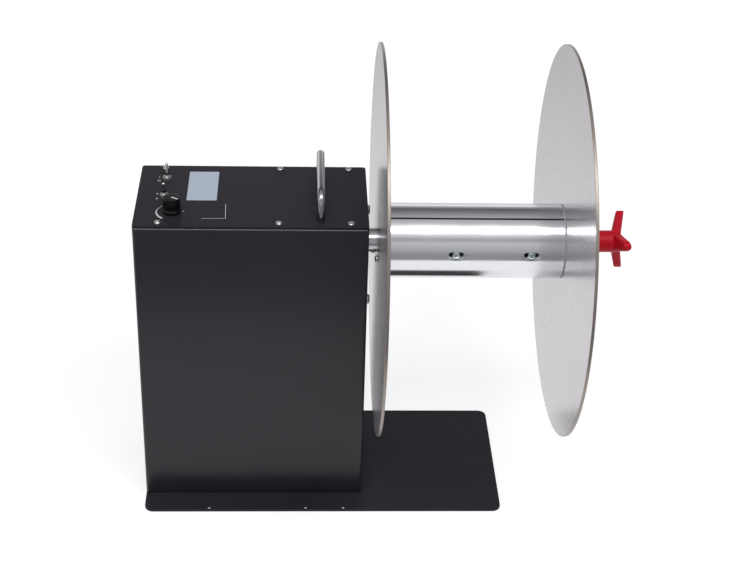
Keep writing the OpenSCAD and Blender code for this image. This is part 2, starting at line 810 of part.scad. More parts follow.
// Pinion on the motor's shaft, turned half a tooth so that a gap meets the gear
module motor_pinion() {
  shaft_x = rear_plate_x - motor_shaft_depth + 1;
  shaft_len = pinion_x + pinion_w - shaft_x;
  color("#c8a24a") translate([0, axle_y, motor_z]) {
    translate([pinion_x, 0, 0]) rotate([0, 90, 0]) rotate([0, 0, 180 + 180 / pinion_teeth])
      linear_extrude(pinion_w) gear_shape(pinion_teeth);
    translate([shaft_x, 0, 0]) rotate([0, 90, 0]) cylinder(r = motor_shaft_r, h = shaft_len);
  }
}

// Circuit board with its power stage, capacitors and terminals
board_w = 120;
board_d = 76;
board_t = 1.6;
board_lift = 8;
board_side_gap = 30;
board_x = wall_left + board_side_gap;
board_z = base_t + board_lift;
board_hole_inset = 5;
module at_board_corners(z) {
  for (px = [board_x + board_hole_inset, board_x + board_w - board_hole_inset])
    for (s = [-1, 1]) translate([px, housing_cy + s * (board_d / 2 - board_hole_inset), z]) children();
}

module control_board() {
  power_stage = [40, 16, 24];
  terminal_row = [50, 9, 10];
  chip = [22, 22, 3];
  chip_front = 14;
  stage_back = 14;
  terminal_start = 44;
  terminal_front = 32;
  capacitors = 3;
  capacitor_start = 24;
  capacitor_front = 20;
  capacitor_pitch = 16;
  capacitor_r = 6.5;
  capacitor_h = 22;
  top_z = board_z + board_t;
  color("#2f6b45") difference() {
    union() {
      translate([board_x, housing_cy - board_d / 2, board_z]) cube([board_w, board_d, board_t]);
      translate([board_x + board_w / 2, housing_cy + stage_back, top_z]) cube(power_stage);
      for (i = [0:capacitors - 1])
        translate([board_x + capacitor_start, housing_cy - capacitor_front + i * capacitor_pitch, top_z])
          cylinder(r = capacitor_r, h = capacitor_h);
      translate([board_x + terminal_start, housing_cy - terminal_front, top_z]) cube(terminal_row);
      translate([board_x + board_w / 2, housing_cy - chip_front, top_z]) cube(chip);
    }
    at_board_corners(board_z - cut) cylinder(r = small_shank_r + seat_gap, h = board_t + 2 * cut);
  }
}

// Pillars on the base plate with a stud that goes through the board and a nut over it
module board_standoffs() {
  nut_r = 2.9;
  nut_h = 2;
  stud_proud = 3;
  color("#b9bbbe") at_board_corners(base_t) {
    cylinder(r = nut_r, h = board_lift);
    cylinder(r = small_shank_r, h = board_lift + board_t + stud_proud);
    translate([0, 0, board_lift + board_t]) cylinder(r = nut_r, h = nut_h, $fn = 6);
  }
}

// Low-voltage inlet socket in the back wall
inlet_x = 40;
inlet_h = 40;
inlet_r = 5.5;
inlet_rim_t = 1.6;
inlet_bore_r = 2.8;
inlet_bore_depth = 10;
inlet_body_len = 14;
inlet_nut_h = 3;
module inlet_place() {
  translate([wall_left + inlet_x, wall_back, base_t + inlet_h]) rotate([-90, 0, 0]) children();
}

module power_inlet() {
  color("#1c1c1e") inlet_place() difference() {
    union() {
      cylinder(r = inlet_r + 2, h = inlet_rim_t);
      translate([0, 0, -sheet_t - inlet_body_len]) cylinder(r = inlet_r, h = sheet_t + inlet_body_len + cut);
      translate([0, 0, -sheet_t - inlet_nut_h]) cylinder(r = inlet_r + 2, h = inlet_nut_h, $fn = 6);
    }
    translate([0, 0, -inlet_bore_depth]) cylinder(r = inlet_bore_r, h = inlet_bore_depth + inlet_rim_t + cut);
  }
}

// Spindle

module spindle_shaft() {
  chamfer = 1;
  color("#c3c5c8") on_axle(0) rotate_extrude()
    polygon([
      [0, shaft_x0], [shaft_r - chamfer, shaft_x0], [shaft_r, shaft_x0 + chamfer], [shaft_r, nose_x],
      [nose_r, nose_x], [nose_r, nose_end - chamfer], [nose_r - chamfer, nose_end], [0, nose_end]
    ]);
}

// Collar that stops the shaft behind the rear bearing
module shaft_collar() {
  collar_r = shaft_r + 3.5;
  collar_len = 9;
  end_play = 0.5;
  color("#8d8f93") on_axle(rear_plate_x - end_play - collar_len) difference() {
    cylinder(r = collar_r, h = collar_len);
    translate([0, 0, -cut]) cylinder(r = shaft_r + seat_gap, h = collar_len + 2 * cut);
  }
}

// Spindle gear with a boss for its set screw
gear_boss_len = 10;
gear_boss_wall = 6;
gear_boss_r = shaft_r + gear_boss_wall;
module drive_gear() {
  color("#c8a24a") on_axle(gear_x) difference() {
    union() {
      linear_extrude(gear_w) gear_shape(gear_teeth);
      translate([0, 0, gear_w - cut]) cylinder(r = gear_boss_r, h = gear_boss_len + cut);
    }
    translate([0, 0, -cut]) cylinder(r = shaft_r + seat_gap, h = gear_w + gear_boss_len + 2 * cut);
    translate([0, 0, gear_w + gear_boss_len / 2]) rotate([0, 90, 0])
      cylinder(r = set_screw_r + seat_gap, h = gear_boss_r + cut);
  }
}

module gear_set_screw() {
  color("#3a3a3c") on_axle(gear_x + gear_w + gear_boss_len / 2)
    grub_screw(shaft_r + seat_gap, gear_boss_r, set_screw_r);
}

// Turned hub: a collar beside the housing, and the flange that the inner disc is screwed to
set_screw_angle = -35;
module inner_hub() {
  color("#d0d2d4") difference() {
    on_axle(0) rotate_extrude()
      polygon([
        [shaft_r + seat_gap, inner_flange_x - hub_collar_len], [hub_collar_r, inner_flange_x - hub_collar_len],
        [hub_collar_r, roll_x0], [hub_flange_r, roll_x0], [hub_flange_r, roll_x0 + hub_flange_t],
        [shaft_r + seat_gap, roll_x0 + hub_flange_t]
      ]);
    spoke(inner_flange_x - hub_collar_len / 2, set_screw_angle) rotate([0, 90, 0])
      cylinder(r = set_screw_r + seat_gap, h = hub_collar_r + cut);
    for (a = concat(hub_screw_angles, drive_screw_angle)) spoke(roll_x0, a) translate([hub_screw_r, 0, -cut])
      cylinder(r = hub_thread_r + seat_gap, h = hub_flange_t + 2 * cut);
  }
}

module inner_hub_set_screw() {
  color("#d5d6d8") spoke(inner_flange_x - hub_collar_len / 2, set_screw_angle)
    grub_screw(shaft_r + seat_gap, hub_collar_r + set_screw_proud, set_screw_r);
}

module flange_disc(x, bore_r) {
  on_axle(x) difference() {
    cylinder(d = flange_d, h = flange_t, $fn = 200);
    translate([0, 0, -cut]) cylinder(r = bore_r, h = flange_t + 2 * cut);
  }
}

module inner_flange() {
  color("#c9ccd0") difference() {
    flange_disc(inner_flange_x, hub_collar_r + seat_gap);
    for (a = hub_screw_angles) spoke(inner_flange_x + blind_skin, a) translate([hub_screw_r, 0, 0])
      cylinder(r = hub_thread_r + seat_gap, h = flange_t + cut);
    spoke(inner_flange_x, drive_screw_angle) translate([hub_screw_r, 0, -cut])
      cylinder(r = hub_thread_r + seat_gap, h = flange_t + 2 * cut);
  }
}

// Three screws from the core's side, blind in the disc, and one driving screw on the disc's left face
module inner_flange_screws() {
  len = flange_t + hub_flange_t - 1;
  color("#c9cacc") {
    for (a = hub_screw_angles) spoke(roll_x0 + hub_flange_t, a) translate([hub_screw_r, 0, 0])
      pan_screw(lid_head_r, lid_head_h, hub_thread_r, len);
    spoke(inner_flange_x, drive_screw_angle) translate([hub_screw_r, 0, 0])
      mirror([0, 0, 1]) pan_screw(lid_head_r, lid_head_h, hub_thread_r, len);
  }
}

// Cone that the leaves ride on: a tapered rim, a web and a boss on the shaft.
// The rim's radius falls towards the wing nut at the leaves' ramp.
cone_boss_wall = 6;
cone_boss_r = shaft_r + cone_boss_wall;
cone_rim_t = 9;
cone_web_t = 8;
cone_set_inset = 3;
module cone_hub(x) {
  half = cone_len / 2;
  web = cone_web_t / 2;
  rim_r = cone_r - cone_rim_t;
  difference() {
    on_axle(x) rotate_extrude()
      polygon([
        [shaft_r + seat_gap, -half], [cone_boss_r, -half], [cone_boss_r, -web], [rim_r, -web],
        [rim_r, -half], [cone_r + ramp * half, -half], [cone_r - ramp * half, half], [rim_r, half],
        [rim_r, web], [cone_boss_r, web], [cone_boss_r, half], [shaft_r + seat_gap, half]
      ]);
    for (a = guide_angles) spoke(x, a) translate([cone_r - guide_depth, 0, 0]) rotate([0, 90, 0])
      cylinder(r = guide_shank_r + seat_gap, h = guide_depth + cone_len);
    spoke(x - half + cone_set_inset, guide_angle + 60) rotate([0, 90, 0])
      cylinder(r = cone_set_screw_r + seat_gap, h = cone_boss_r + moving_gap);
  }
}

module inner_cone() { color("#b4b6b9") cone_hub(guide_x[0]); }
module outer_cone() { color("#b4b6b9") cone_hub(guide_x[1]); }

module cone_set_screws() {
  color("#3a3a3c") for (x = guide_x) spoke(x - cone_len / 2 + cone_set_inset, guide_angle + 60)
    grub_screw(shaft_r + seat_gap, cone_boss_r, cone_set_screw_r);
}

// Screws that hold the leaves on the cones and leave them free to slide
module guide_screws() {
  len = guide_seat_r - cone_r + guide_depth - 0.5;
  color("#b3b7b4") for (x = guide_x, a = guide_angles) spoke(x, a) translate([guide_seat_r, 0, 0])
    rotate([0, 90, 0]) pan_screw(guide_head_r, guide_head_h, guide_shank_r, len);
}

// A third of the expanding core: a tube wall with two tapered pads inside, and two stepped slots.
// In the profile, each pad's inner radius falls along x at the same ramp as the cones.
module core_leaf(a) {
  half = pad_len / 2;
  half_turn = 180 / leaf_count;
  rise = ramp * half;
  pads = [for (x = guide_x) each [
    [leaf_in_r, x - half], [pad_r + rise, x - half], [pad_r - rise, x + half], [leaf_in_r, x + half]
  ]];
  difference() {
    spoke(0, a) rotate([0, 0, -half_turn]) rotate_extrude(angle = 2 * half_turn)
      polygon(concat(
        [[leaf_in_r, leaf_x1], [core_r, leaf_x1], [core_r, leaf_x0], [leaf_in_r, leaf_x0]], pads));
    for (edge = [-half_turn, half_turn])
      spoke(leaf_x0 - cut, a) rotate([0, 0, edge]) translate([0, -leaf_slit / 2, 0])
        cube([core_d, leaf_slit, leaf_x1 - leaf_x0 + 2 * cut]);
    for (x = guide_x) spoke(x, a) rotate([0, 90, 0]) {
      translate([0, 0, pocket_floor_r]) linear_extrude(core_r) slot_shape(slot_len, slot_w);
      translate([0, 0, cone_r - cone_len]) linear_extrude(core_r) slot_shape(shank_slot_len, shank_slot_w);
    }
  }
}

module core_leaf_1() { color("#cfd2d5") core_leaf(guide_angles[0]); }
module core_leaf_2() { color("#cfd2d5") core_leaf(guide_angles[1]); }
module core_leaf_3() { color("#cfd2d5") core_leaf(guide_angles[2]); }

// Outer flange and wing nut

// Thin plate that slides on the shaft and pushes the leaves up the cones
module pressure_plate() {
  color("#4a4b4e") on_axle(leaf_x1) difference() {
    cylinder(d = pressure_d, h = pressure_t);
    translate([0, 0, -cut]) cylinder(r = shaft_r + fit_gap, h = pressure_t + 2 * cut);
  }
}

// Ring of hard rubber on the outer flange, around the pressure plate
module flange_pad() {
  color("#2a2a2c") on_axle(leaf_x1) difference() {
    cylinder(d = pad_d, h = pressure_t);
    translate([0, 0, -cut]) cylinder(r = pressure_d / 2 + moving_gap, h = pressure_t + 2 * cut);
  }
}

module outer_flange() {
  color("#c9ccd0") difference() {
    flange_disc(outer_flange_x, shaft_r + fit_gap);
    for (a = hub_screw_angles) spoke(outer_flange_x, a) translate([hub_screw_r, 0, 0]) {
      translate([0, 0, -cut]) cylinder(r = hub_thread_r + seat_gap, h = flange_t + 2 * cut);
      mirror([0, 0, 1]) countersink(hub_flat_head_r, hub_thread_r + seat_gap);
    }
  }
}

module outer_hub() {
  color("#b4b6b9") difference() {
    on_axle(outer_hub_x) rotate_extrude()
      polygon([
        [shaft_r + fit_gap, 0], [outer_hub_flange_r, 0], [outer_hub_flange_r, outer_hub_flange_t - hub_edge],
        [outer_hub_flange_r - hub_edge, outer_hub_flange_t], [outer_hub_boss_r, outer_hub_flange_t],
        [outer_hub_boss_r, outer_hub_len - hub_edge], [outer_hub_boss_r - hub_edge, outer_hub_len],
        [shaft_r + fit_gap, outer_hub_len]
      ]);
    for (a = hub_screw_angles) spoke(outer_hub_x, a) translate([hub_screw_r, 0, -cut])
      cylinder(r = hub_thread_r + seat_gap, h = outer_hub_flange_t + 2 * cut);
  }
}

module outer_hub_screws() {
  color("#8d8f93") for (a = hub_screw_angles) spoke(outer_flange_x, a) translate([hub_screw_r, 0, 0])
    mirror([0, 0, 1]) flat_screw(hub_flat_head_r, hub_thread_r, flange_t + outer_hub_flange_t - 1);
}

// One arm of the wing nut, pointing along x: the plan narrows to a round tip, and the side view
// sweeps away from the flange
module nut_arm() {
  root_half_w = nut_hub_d * 0.46;
  tip_r = 4.4;
  tip_t = nut_arm_t - 2;
  tip_x = nut_arm_reach - tip_r;
  sweep_x = nut_hub_d * 0.15;
  intersection() {
    linear_extrude(nut_arm_t + nut_arm_sweep + cut) {
      polygon([[0, -root_half_w], [tip_x, -tip_r], [tip_x, tip_r], [0, root_half_w]]);
      translate([tip_x, 0]) circle(tip_r);
    }
    rotate([90, 0, 0]) linear_extrude(2 * nut_hub_d, center = true)
      polygon([
        [-cut, 0], [sweep_x, 0], [nut_arm_reach + cut, nut_arm_sweep],
        [nut_arm_reach + cut, nut_arm_sweep + tip_t], [sweep_x, nut_arm_t], [-cut, nut_arm_t]
      ]);
  }
}

// Moulded wing nut: a long hub and three arms that taper and sweep away from the flange
module wing_nut() {
  bore_depth = nose_reach + 2.5;
  color("#be1928") difference() {
    union() {
      on_axle(nut_x) cylinder(d = nut_hub_d, h = nut_hub_len + nut_arm_t);
      for (k = [0, 120, 240]) spoke(nut_arm_x, nut_arm_angle + k) nut_arm();
    }
    on_axle(nut_x - cut) cylinder(r = nose_r + fit_gap, h = bore_depth + cut);
  }
}

base_plate();
housing_shell();
base_screws();
base_rivet_nuts();
lid();
lid_screws();
lid_rivet_nuts();
carry_handle();
handle_screws();
power_switch();
direction_switch();
switch_nuts();
power_lever();
direction_lever();
torque_control();
torque_control_nut();
torque_shaft();
torque_knob();
knob_pointer();
front_drive_plate();
rear_drive_plate();
drive_pillars();
drive_plate_screws();
rear_plate_screws();
front_bearing();
rear_bearing();
gear_motor();
motor_screws();
motor_pinion();
control_board();
board_standoffs();
power_inlet();
spindle_shaft();
shaft_collar();
drive_gear();
gear_set_screw();
inner_hub();
inner_hub_set_screw();
inner_flange();
inner_flange_screws();
inner_cone();
outer_cone();
cone_set_screws();
guide_screws();
core_leaf_1();
core_leaf_2();
core_leaf_3();
pressure_plate();
flange_pad();
outer_flange();
outer_hub();
outer_hub_screws();
wing_nut();
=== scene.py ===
import json
import math

import bmesh
import bpy
import numpy as np
from mathutils import Matrix, Vector


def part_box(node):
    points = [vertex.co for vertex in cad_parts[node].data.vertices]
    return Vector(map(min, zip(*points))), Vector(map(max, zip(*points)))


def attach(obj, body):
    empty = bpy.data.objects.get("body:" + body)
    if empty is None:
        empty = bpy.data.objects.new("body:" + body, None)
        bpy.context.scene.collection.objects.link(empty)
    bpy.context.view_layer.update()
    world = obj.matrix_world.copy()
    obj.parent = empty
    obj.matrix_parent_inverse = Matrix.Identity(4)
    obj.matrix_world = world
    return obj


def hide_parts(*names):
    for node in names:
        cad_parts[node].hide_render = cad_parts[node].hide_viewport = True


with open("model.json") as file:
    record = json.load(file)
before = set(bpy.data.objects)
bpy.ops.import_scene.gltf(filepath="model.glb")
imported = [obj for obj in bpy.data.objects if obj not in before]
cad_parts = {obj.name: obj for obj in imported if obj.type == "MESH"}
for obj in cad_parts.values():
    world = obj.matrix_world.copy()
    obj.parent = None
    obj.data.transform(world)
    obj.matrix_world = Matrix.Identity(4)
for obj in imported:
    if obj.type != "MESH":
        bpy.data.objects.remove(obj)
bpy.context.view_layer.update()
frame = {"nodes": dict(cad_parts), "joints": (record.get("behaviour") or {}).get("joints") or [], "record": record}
nodes = frame["nodes"]
record = frame["record"]
scene = bpy.context.scene
scene.view_settings.view_transform = "Standard"
mm = 0.001

alongX, alongY, alongZ = np.eye(3)
jointPlace = {j["name"]: np.array(j.get("pos_m", (0, 0, 0)), float) for j in frame["joints"]}
bodyOf = {n: body for body, members in record["behaviour"]["bodies"].items() for n in members}
slotOf = {s["node"]: s["material_slot"] for s in record["subparts"]}
mountOf = {m["name"]: m for m in record["mounts"]}
axle = jointPlace["spindle_spin"]
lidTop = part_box("lid")[1].z
print("frame loaded:", len(nodes), "nodes")


# Shape helpers: grids of points in metres, local z is the turning axis

shapeRule = {
    # a corner's curve takes at most this share of each side
    "cornerShare": 0.48,
    # flat band kept beside a plate's round edge, and the points round the edge
    "edgeSupport": 0.3 * mm,
    "edgeSteps": 5,
    # points nearer than this are one, faces thinner than this are dropped
    "mergeGap": 1e-6,
    "thinGap": 1e-7,
    # points within this of a face count as on it
    "onFace": 0.1 * mm,
}


def lathe(profile, steps=64):
    # profile of (radius, height) pairs turned about z: (r cos t, r sin t, h)
    turn = np.linspace(0, 2 * np.pi, steps, endpoint=False)
    radius, height = np.asarray(profile, float).T
    flat = [np.outer(radius, np.cos(turn)), np.outer(radius, np.sin(turn))]
    return np.stack([*flat, np.repeat(height[:, None], steps, 1)], axis=-1)


def softened(points, radius, steps=5):
    # every inner corner becomes a curve from side to side: (1-t)^2 a + 2t(1-t) corner + t^2 b
    p = np.asarray(points, float)
    corner = p[1:-1]
    size = np.broadcast_to(radius, len(corner))[:, None]
    ends = []
    for other in (p[:-2], p[2:]):
        way = other - corner
        far = np.linalg.norm(way, axis=1, keepdims=True)
        ends.append(corner + way / far * np.minimum(size, shapeRule["cornerShare"] * far))
    t = np.linspace(0, 1, steps)[None, :, None]
    start, stop = (e[:, None] for e in ends)
    arcs = (1 - t) ** 2 * start + 2 * t * (1 - t) * corner[:, None] + t ** 2 * stop
    return np.concatenate([p[:1], arcs.reshape(-1, p.shape[1]), p[-1:]])


def placed(grid, origin, axis, side):
    # turns local z to axis and local x to side, and moves the grid to origin
    z = np.asarray(axis, float) / np.linalg.norm(axis)
    x = np.asarray(side, float) - np.dot(side, z) * z
    x /= np.linalg.norm(x)
    return np.asarray(origin, float) + grid @ np.array([x, np.cross(z, x), z])


def gridFaces(rows, cols, closeRows):
    # quads between neighbours of a grid that is counted row by row; the last column meets the first
    r = np.arange(rows if closeRows else rows - 1)[:, None]
    c = np.arange(cols)[None, :]
    rNext, cNext = (r + 1) % rows, (c + 1) % cols
    quads = [r * cols + c, r * cols + cNext, rNext * cols + cNext, rNext * cols + c]
    return np.stack(np.broadcast_arrays(*quads), axis=-1).reshape(-1, 4)


def readAll(items, field, width=3, kind=np.float32):
    # one row per item of a mesh, read in one go
    values = np.empty(len(items) * width, kind)
    items.foreach_get(field, values)
    return values.reshape(-1, width)


def finishMesh(mesh, sharp, fillLoops=False):
    # merges poles and seams, fills open loops with flat faces, turns faces outwards
    bm = bmesh.new()
    bm.from_mesh(mesh)
    bmesh.ops.remove_doubles(bm, verts=bm.verts, dist=shapeRule["mergeGap"])
    bmesh.ops.dissolve_degenerate(bm, edges=bm.edges, dist=shapeRule["thinGap"])
    if fillLoops:
        heights = readAll(mesh.vertices, "co")[:, 2]
        middle = (heights.min() + heights.max()) / 2
        rims = [e for e in bm.edges if e.is_boundary]
        for upper in (False, True):
            loop = [e for e in rims if (e.verts[0].co.z > middle) == upper]
            bmesh.ops.triangle_fill(bm, use_beauty=True, edges=loop)
    bmesh.ops.recalc_face_normals(bm, faces=bm.faces)
    bm.to_mesh(mesh)
    bm.free()
    mesh.shade_smooth()
    mesh.set_sharp_from_angle(angle=math.radians(sharp))
    return mesh


def meshFromGrids(name, grids, sharp, closeRows=False, fillLoops=False):
    points, faces, start = [], [], 0
    for grid in grids:
        rows, cols = grid.shape[:2]
        points.append(grid.reshape(-1, 3))
        faces.append(gridFaces(rows, cols, closeRows) + start)
        start += rows * cols
    mesh = bpy.data.meshes.new(name)
    mesh.from_pydata(np.concatenate(points).tolist(), [], np.concatenate(faces).tolist())
    return finishMesh(mesh, sharp, fillLoops)


def circleOutline(centre, radius, steps, hole=True):
    # points of a circle, and normals that point out of the material
    turn = np.linspace(0, 2 * np.pi, steps, endpoint=False)
    out = np.stack([np.cos(turn), np.sin(turn)], 1)
    return np.asarray(centre, float)[:2] + radius * out, -out if hole else out


def roundedRect(low, high, radius, steps=9):
    # four quarter circles round the corner centres, joined by straight sides
    turn = (np.arange(4)[:, None] * np.pi / 2 + np.linspace(0, np.pi / 2, steps)).ravel()
    out = np.stack([np.cos(turn), np.sin(turn)], 1)
    signs = np.repeat([[1, 1], [-1, 1], [-1, -1], [1, -1]], steps, axis=0)
    low, high = np.asarray(low, float)[:2], np.asarray(high, float)[:2]
    return (low + high) / 2 + signs * ((high - low) / 2 - radius) + radius * out, out


def plateMesh(name, outlines, thickness, edge, place):
    # an edge profile, round with radius edge, carried along each outline; flat faces fill the loops
    bow = np.linspace(0, np.pi / 2, shapeRule["edgeSteps"])
    flatBand = [-edge - shapeRule["edgeSupport"]]
    inset = np.concatenate([flatBand, edge * np.sin(bow) - edge, edge * np.cos(bow) - edge, flatBand])
    rise = np.concatenate([[0], edge - edge * np.cos(bow), thickness - edge + edge * np.sin(bow),
                           [thickness]])
    grids = []
    for points, normals in outlines:
        flat = points[None] + normals[None] * inset[:, None, None]
        tall = np.broadcast_to(rise[:, None, None], (len(rise), len(points), 1))
        grids.append(np.concatenate([flat, tall], axis=2))
    mesh = meshFromGrids(name, grids, sharp=40, fillLoops=True)
    mesh.transform(place)
    return mesh


def mergedFaces(nodeName):
    # a node's corner points without repeats, and its triangles as numbers of these points
    mesh = nodes[nodeName].data
    points, same = np.unique(readAll(mesh.vertices, "co").round(7), axis=0, return_inverse=True)
    corners = readAll(mesh.loops, "vertex_index", 1, np.int32)
    return points, same.ravel()[corners].reshape(-1, 3)


def solidPoints(nodeName):
    # corner points of each separate solid in a node: labels spread over shared corners until they settle
    points, faces = mergedFaces(nodeName)
    label = np.arange(len(points))
    while True:
        old = label.copy()
        least = label[faces].min(axis=1)
        for corner in range(3):
            np.minimum.at(label, faces[:, corner], least)
        if np.array_equal(old, label):
            break
    return [points[label == k] for k in np.unique(label)]


def middles(nodeName):
    return [(p.min(0) + p.max(0)) / 2 for p in solidPoints(nodeName)]


def fromAxle(points):
    # distance of each point from the spindle's axis
    return np.hypot(*(points[:, 1:] - axle[1:]).T)


def boxOf(nodeName):
    low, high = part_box(nodeName)
    return np.array(low), np.array(high)


def addPiece(name, mesh, body, finish, replacing=()):
    piece = bpy.data.objects.new(name, mesh)
    scene.collection.objects.link(piece)
    mesh.materials.append(finish)
    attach(piece, body)
    if replacing:
        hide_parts(*replacing)
    return piece


# Materials

patternRule = {
    # size of the patches in which a coat's gloss changes, and how far it changes
    "coatCloudMm": 45.0,
    "coatSpread": 0.05,
    # the same for plastic, along the flow of the melt
    "flowMm": 9.0,
    "flowSpread": 0.04,
    # span of one noise, and of two noises added, that counts as its full depth
    "noiseSpan": (0.35, 0.65),
    "sumSpan": (0.6, 1.4),
}


def linear(hexColour):
    # sRGB hex to linear light, by the standard's two-part curve
    part = np.array([int(hexColour[i:i + 2], 16) for i in (1, 3, 5)]) / 255
    return (*np.where(part <= 0.04045, part / 12.92, ((part + 0.055) / 1.055) ** 2.4), 1.0)


def perMetre(sizeMm):
    return 1000 / sizeMm


def addNode(tree, kind, links=None, **settings):
    # a value that is a socket gets linked, any other value is set on the input
    made = tree.nodes.new(kind)
    for name, value in settings.items():
        setattr(made, name, value)
    for name, value in (links or {}).items():
        if isinstance(value, bpy.types.NodeSocket):
            tree.links.new(value, made.inputs[name])
        else:
            made.inputs[name].default_value = value
    return made


def startMaterial(name):
    made = bpy.data.materials.new(name)
    made.use_nodes = True
    tree = made.node_tree
    tree.nodes.clear()
    place = addNode(tree, "ShaderNodeTexCoord").outputs["Object"]
    return made, tree, place


def endMaterial(tree, **inputs):
    names = {key: key[0].upper() + "".join(" " + c if c.isupper() else c for c in key[1:]) for key in inputs}
    special = {"ior": "IOR", "specularIORLevel": "Specular IOR Level"}
    shader = addNode(tree, "ShaderNodeBsdfPrincipled",
                     {special.get(key, names[key]): value for key, value in inputs.items()})
    addNode(tree, "ShaderNodeOutputMaterial", {"Surface": shader.outputs[0]})


def powderCoat(name, darkHex, paleHex, grainMm, depthMm, roughness, sheen):
    # polyester powder coat, oven cured on steel: satin black, fine orange peel, faintly clouded gloss;
    # sheen is the share of the surface that stays smooth enough to mirror, 0.5 for a full gloss
    made, tree, place = startMaterial(name)
    grain = addNode(tree, "ShaderNodeTexNoise", {"Vector": place, "Scale": perMetre(grainMm), "Detail": 2.0})
    cloud = addNode(tree, "ShaderNodeTexNoise",
                    {"Vector": place, "Scale": perMetre(patternRule["coatCloudMm"]), "Detail": 3.0})
    colour = addNode(tree, "ShaderNodeMix", {"Factor": grain.outputs[0], 6: linear(darkHex),
                                             7: linear(paleHex)}, data_type="RGBA")
    spread = patternRule["coatSpread"]
    gloss = addNode(tree, "ShaderNodeMapRange", {"Value": cloud.outputs[0], "To Min": roughness - spread,
                                                 "To Max": roughness + spread})
    peel = addNode(tree, "ShaderNodeBump", {"Height": grain.outputs[0], "Distance": depthMm * mm})
    endMaterial(tree, baseColor=colour.outputs[2], roughness=gloss.outputs[0], normal=peel.outputs[0],
                specularIORLevel=sheen, ior=1.5)
    return made


def metal(name, hexColour, roughness, spread, streakMm, depthMm, cloudMm=25.0, bare=1.0, shadeHex=None):
    # bare or plated metal: streakMm is the grain's size along x, y and z, cloudMm that of dull patches;
    # bare is the share without a dull film of oxide, shadeHex the colour in the grain's hollows
    made, tree, place = startMaterial(name)
    stretch = addNode(tree, "ShaderNodeMapping",
                      {"Vector": place, "Scale": tuple(perMetre(s) for s in streakMm)})
    streak = addNode(tree, "ShaderNodeTexNoise", {"Vector": stretch.outputs[0], "Scale": 1.0, "Detail": 3.0})
    cloud = addNode(tree, "ShaderNodeTexNoise", {"Vector": place, "Scale": perMetre(cloudMm), "Detail": 2.0})
    mixed = addNode(tree, "ShaderNodeMath", {0: streak.outputs[0], 1: cloud.outputs[0]}, operation="ADD")
    low, high = patternRule["sumSpan"]
    gloss = addNode(tree, "ShaderNodeMapRange", {"Value": mixed.outputs[0], "From Min": low, "From Max": high,
                                                 "To Min": roughness - spread, "To Max": roughness + spread})
    lines = addNode(tree, "ShaderNodeBump", {"Height": streak.outputs[0], "Distance": depthMm * mm})
    colour = linear(hexColour)
    if shadeHex:
        low, high = patternRule["noiseSpan"]
        depth = addNode(tree, "ShaderNodeMapRange", {"Value": streak.outputs[0], "From Min": low,
                                                     "From Max": high}).outputs[0]
        colour = addNode(tree, "ShaderNodeMix", {"Factor": depth, 6: linear(shadeHex), 7: colour},
                         data_type="RGBA").outputs[2]
    endMaterial(tree, baseColor=colour, metallic=bare, roughness=gloss.outputs[0], normal=lines.outputs[0])
    return made


def moulded(name, hexColour, roughness, grainMm, depthMm, shadeHex=None, sheen=0.5):
    # injection-moulded plastic or rubber: even colour, fine spark-eroded grain from the tool
    made, tree, place = startMaterial(name)
    grain = addNode(tree, "ShaderNodeTexNoise", {"Vector": place, "Scale": perMetre(grainMm), "Detail": 2.0})
    flow = addNode(tree, "ShaderNodeTexNoise", {"Vector": place, "Scale": perMetre(patternRule["flowMm"]),
                                                "Detail": 2.0})
    colour = addNode(tree, "ShaderNodeMix", {"Factor": flow.outputs[0], 6: linear(shadeHex or hexColour),
                                             7: linear(hexColour)}, data_type="RGBA")
    skin = addNode(tree, "ShaderNodeBump", {"Height": grain.outputs[0], "Distance": depthMm * mm})
    spread = patternRule["flowSpread"]
    gloss = addNode(tree, "ShaderNodeMapRange", {"Value": flow.outputs[0], "To Min": roughness - spread,
                                                 "To Max": roughness + spread})
    endMaterial(tree, baseColor=colour.outputs[2], roughness=gloss.outputs[0], normal=skin.outputs[0],
                specularIORLevel=sheen, ior=1.5)
    return made


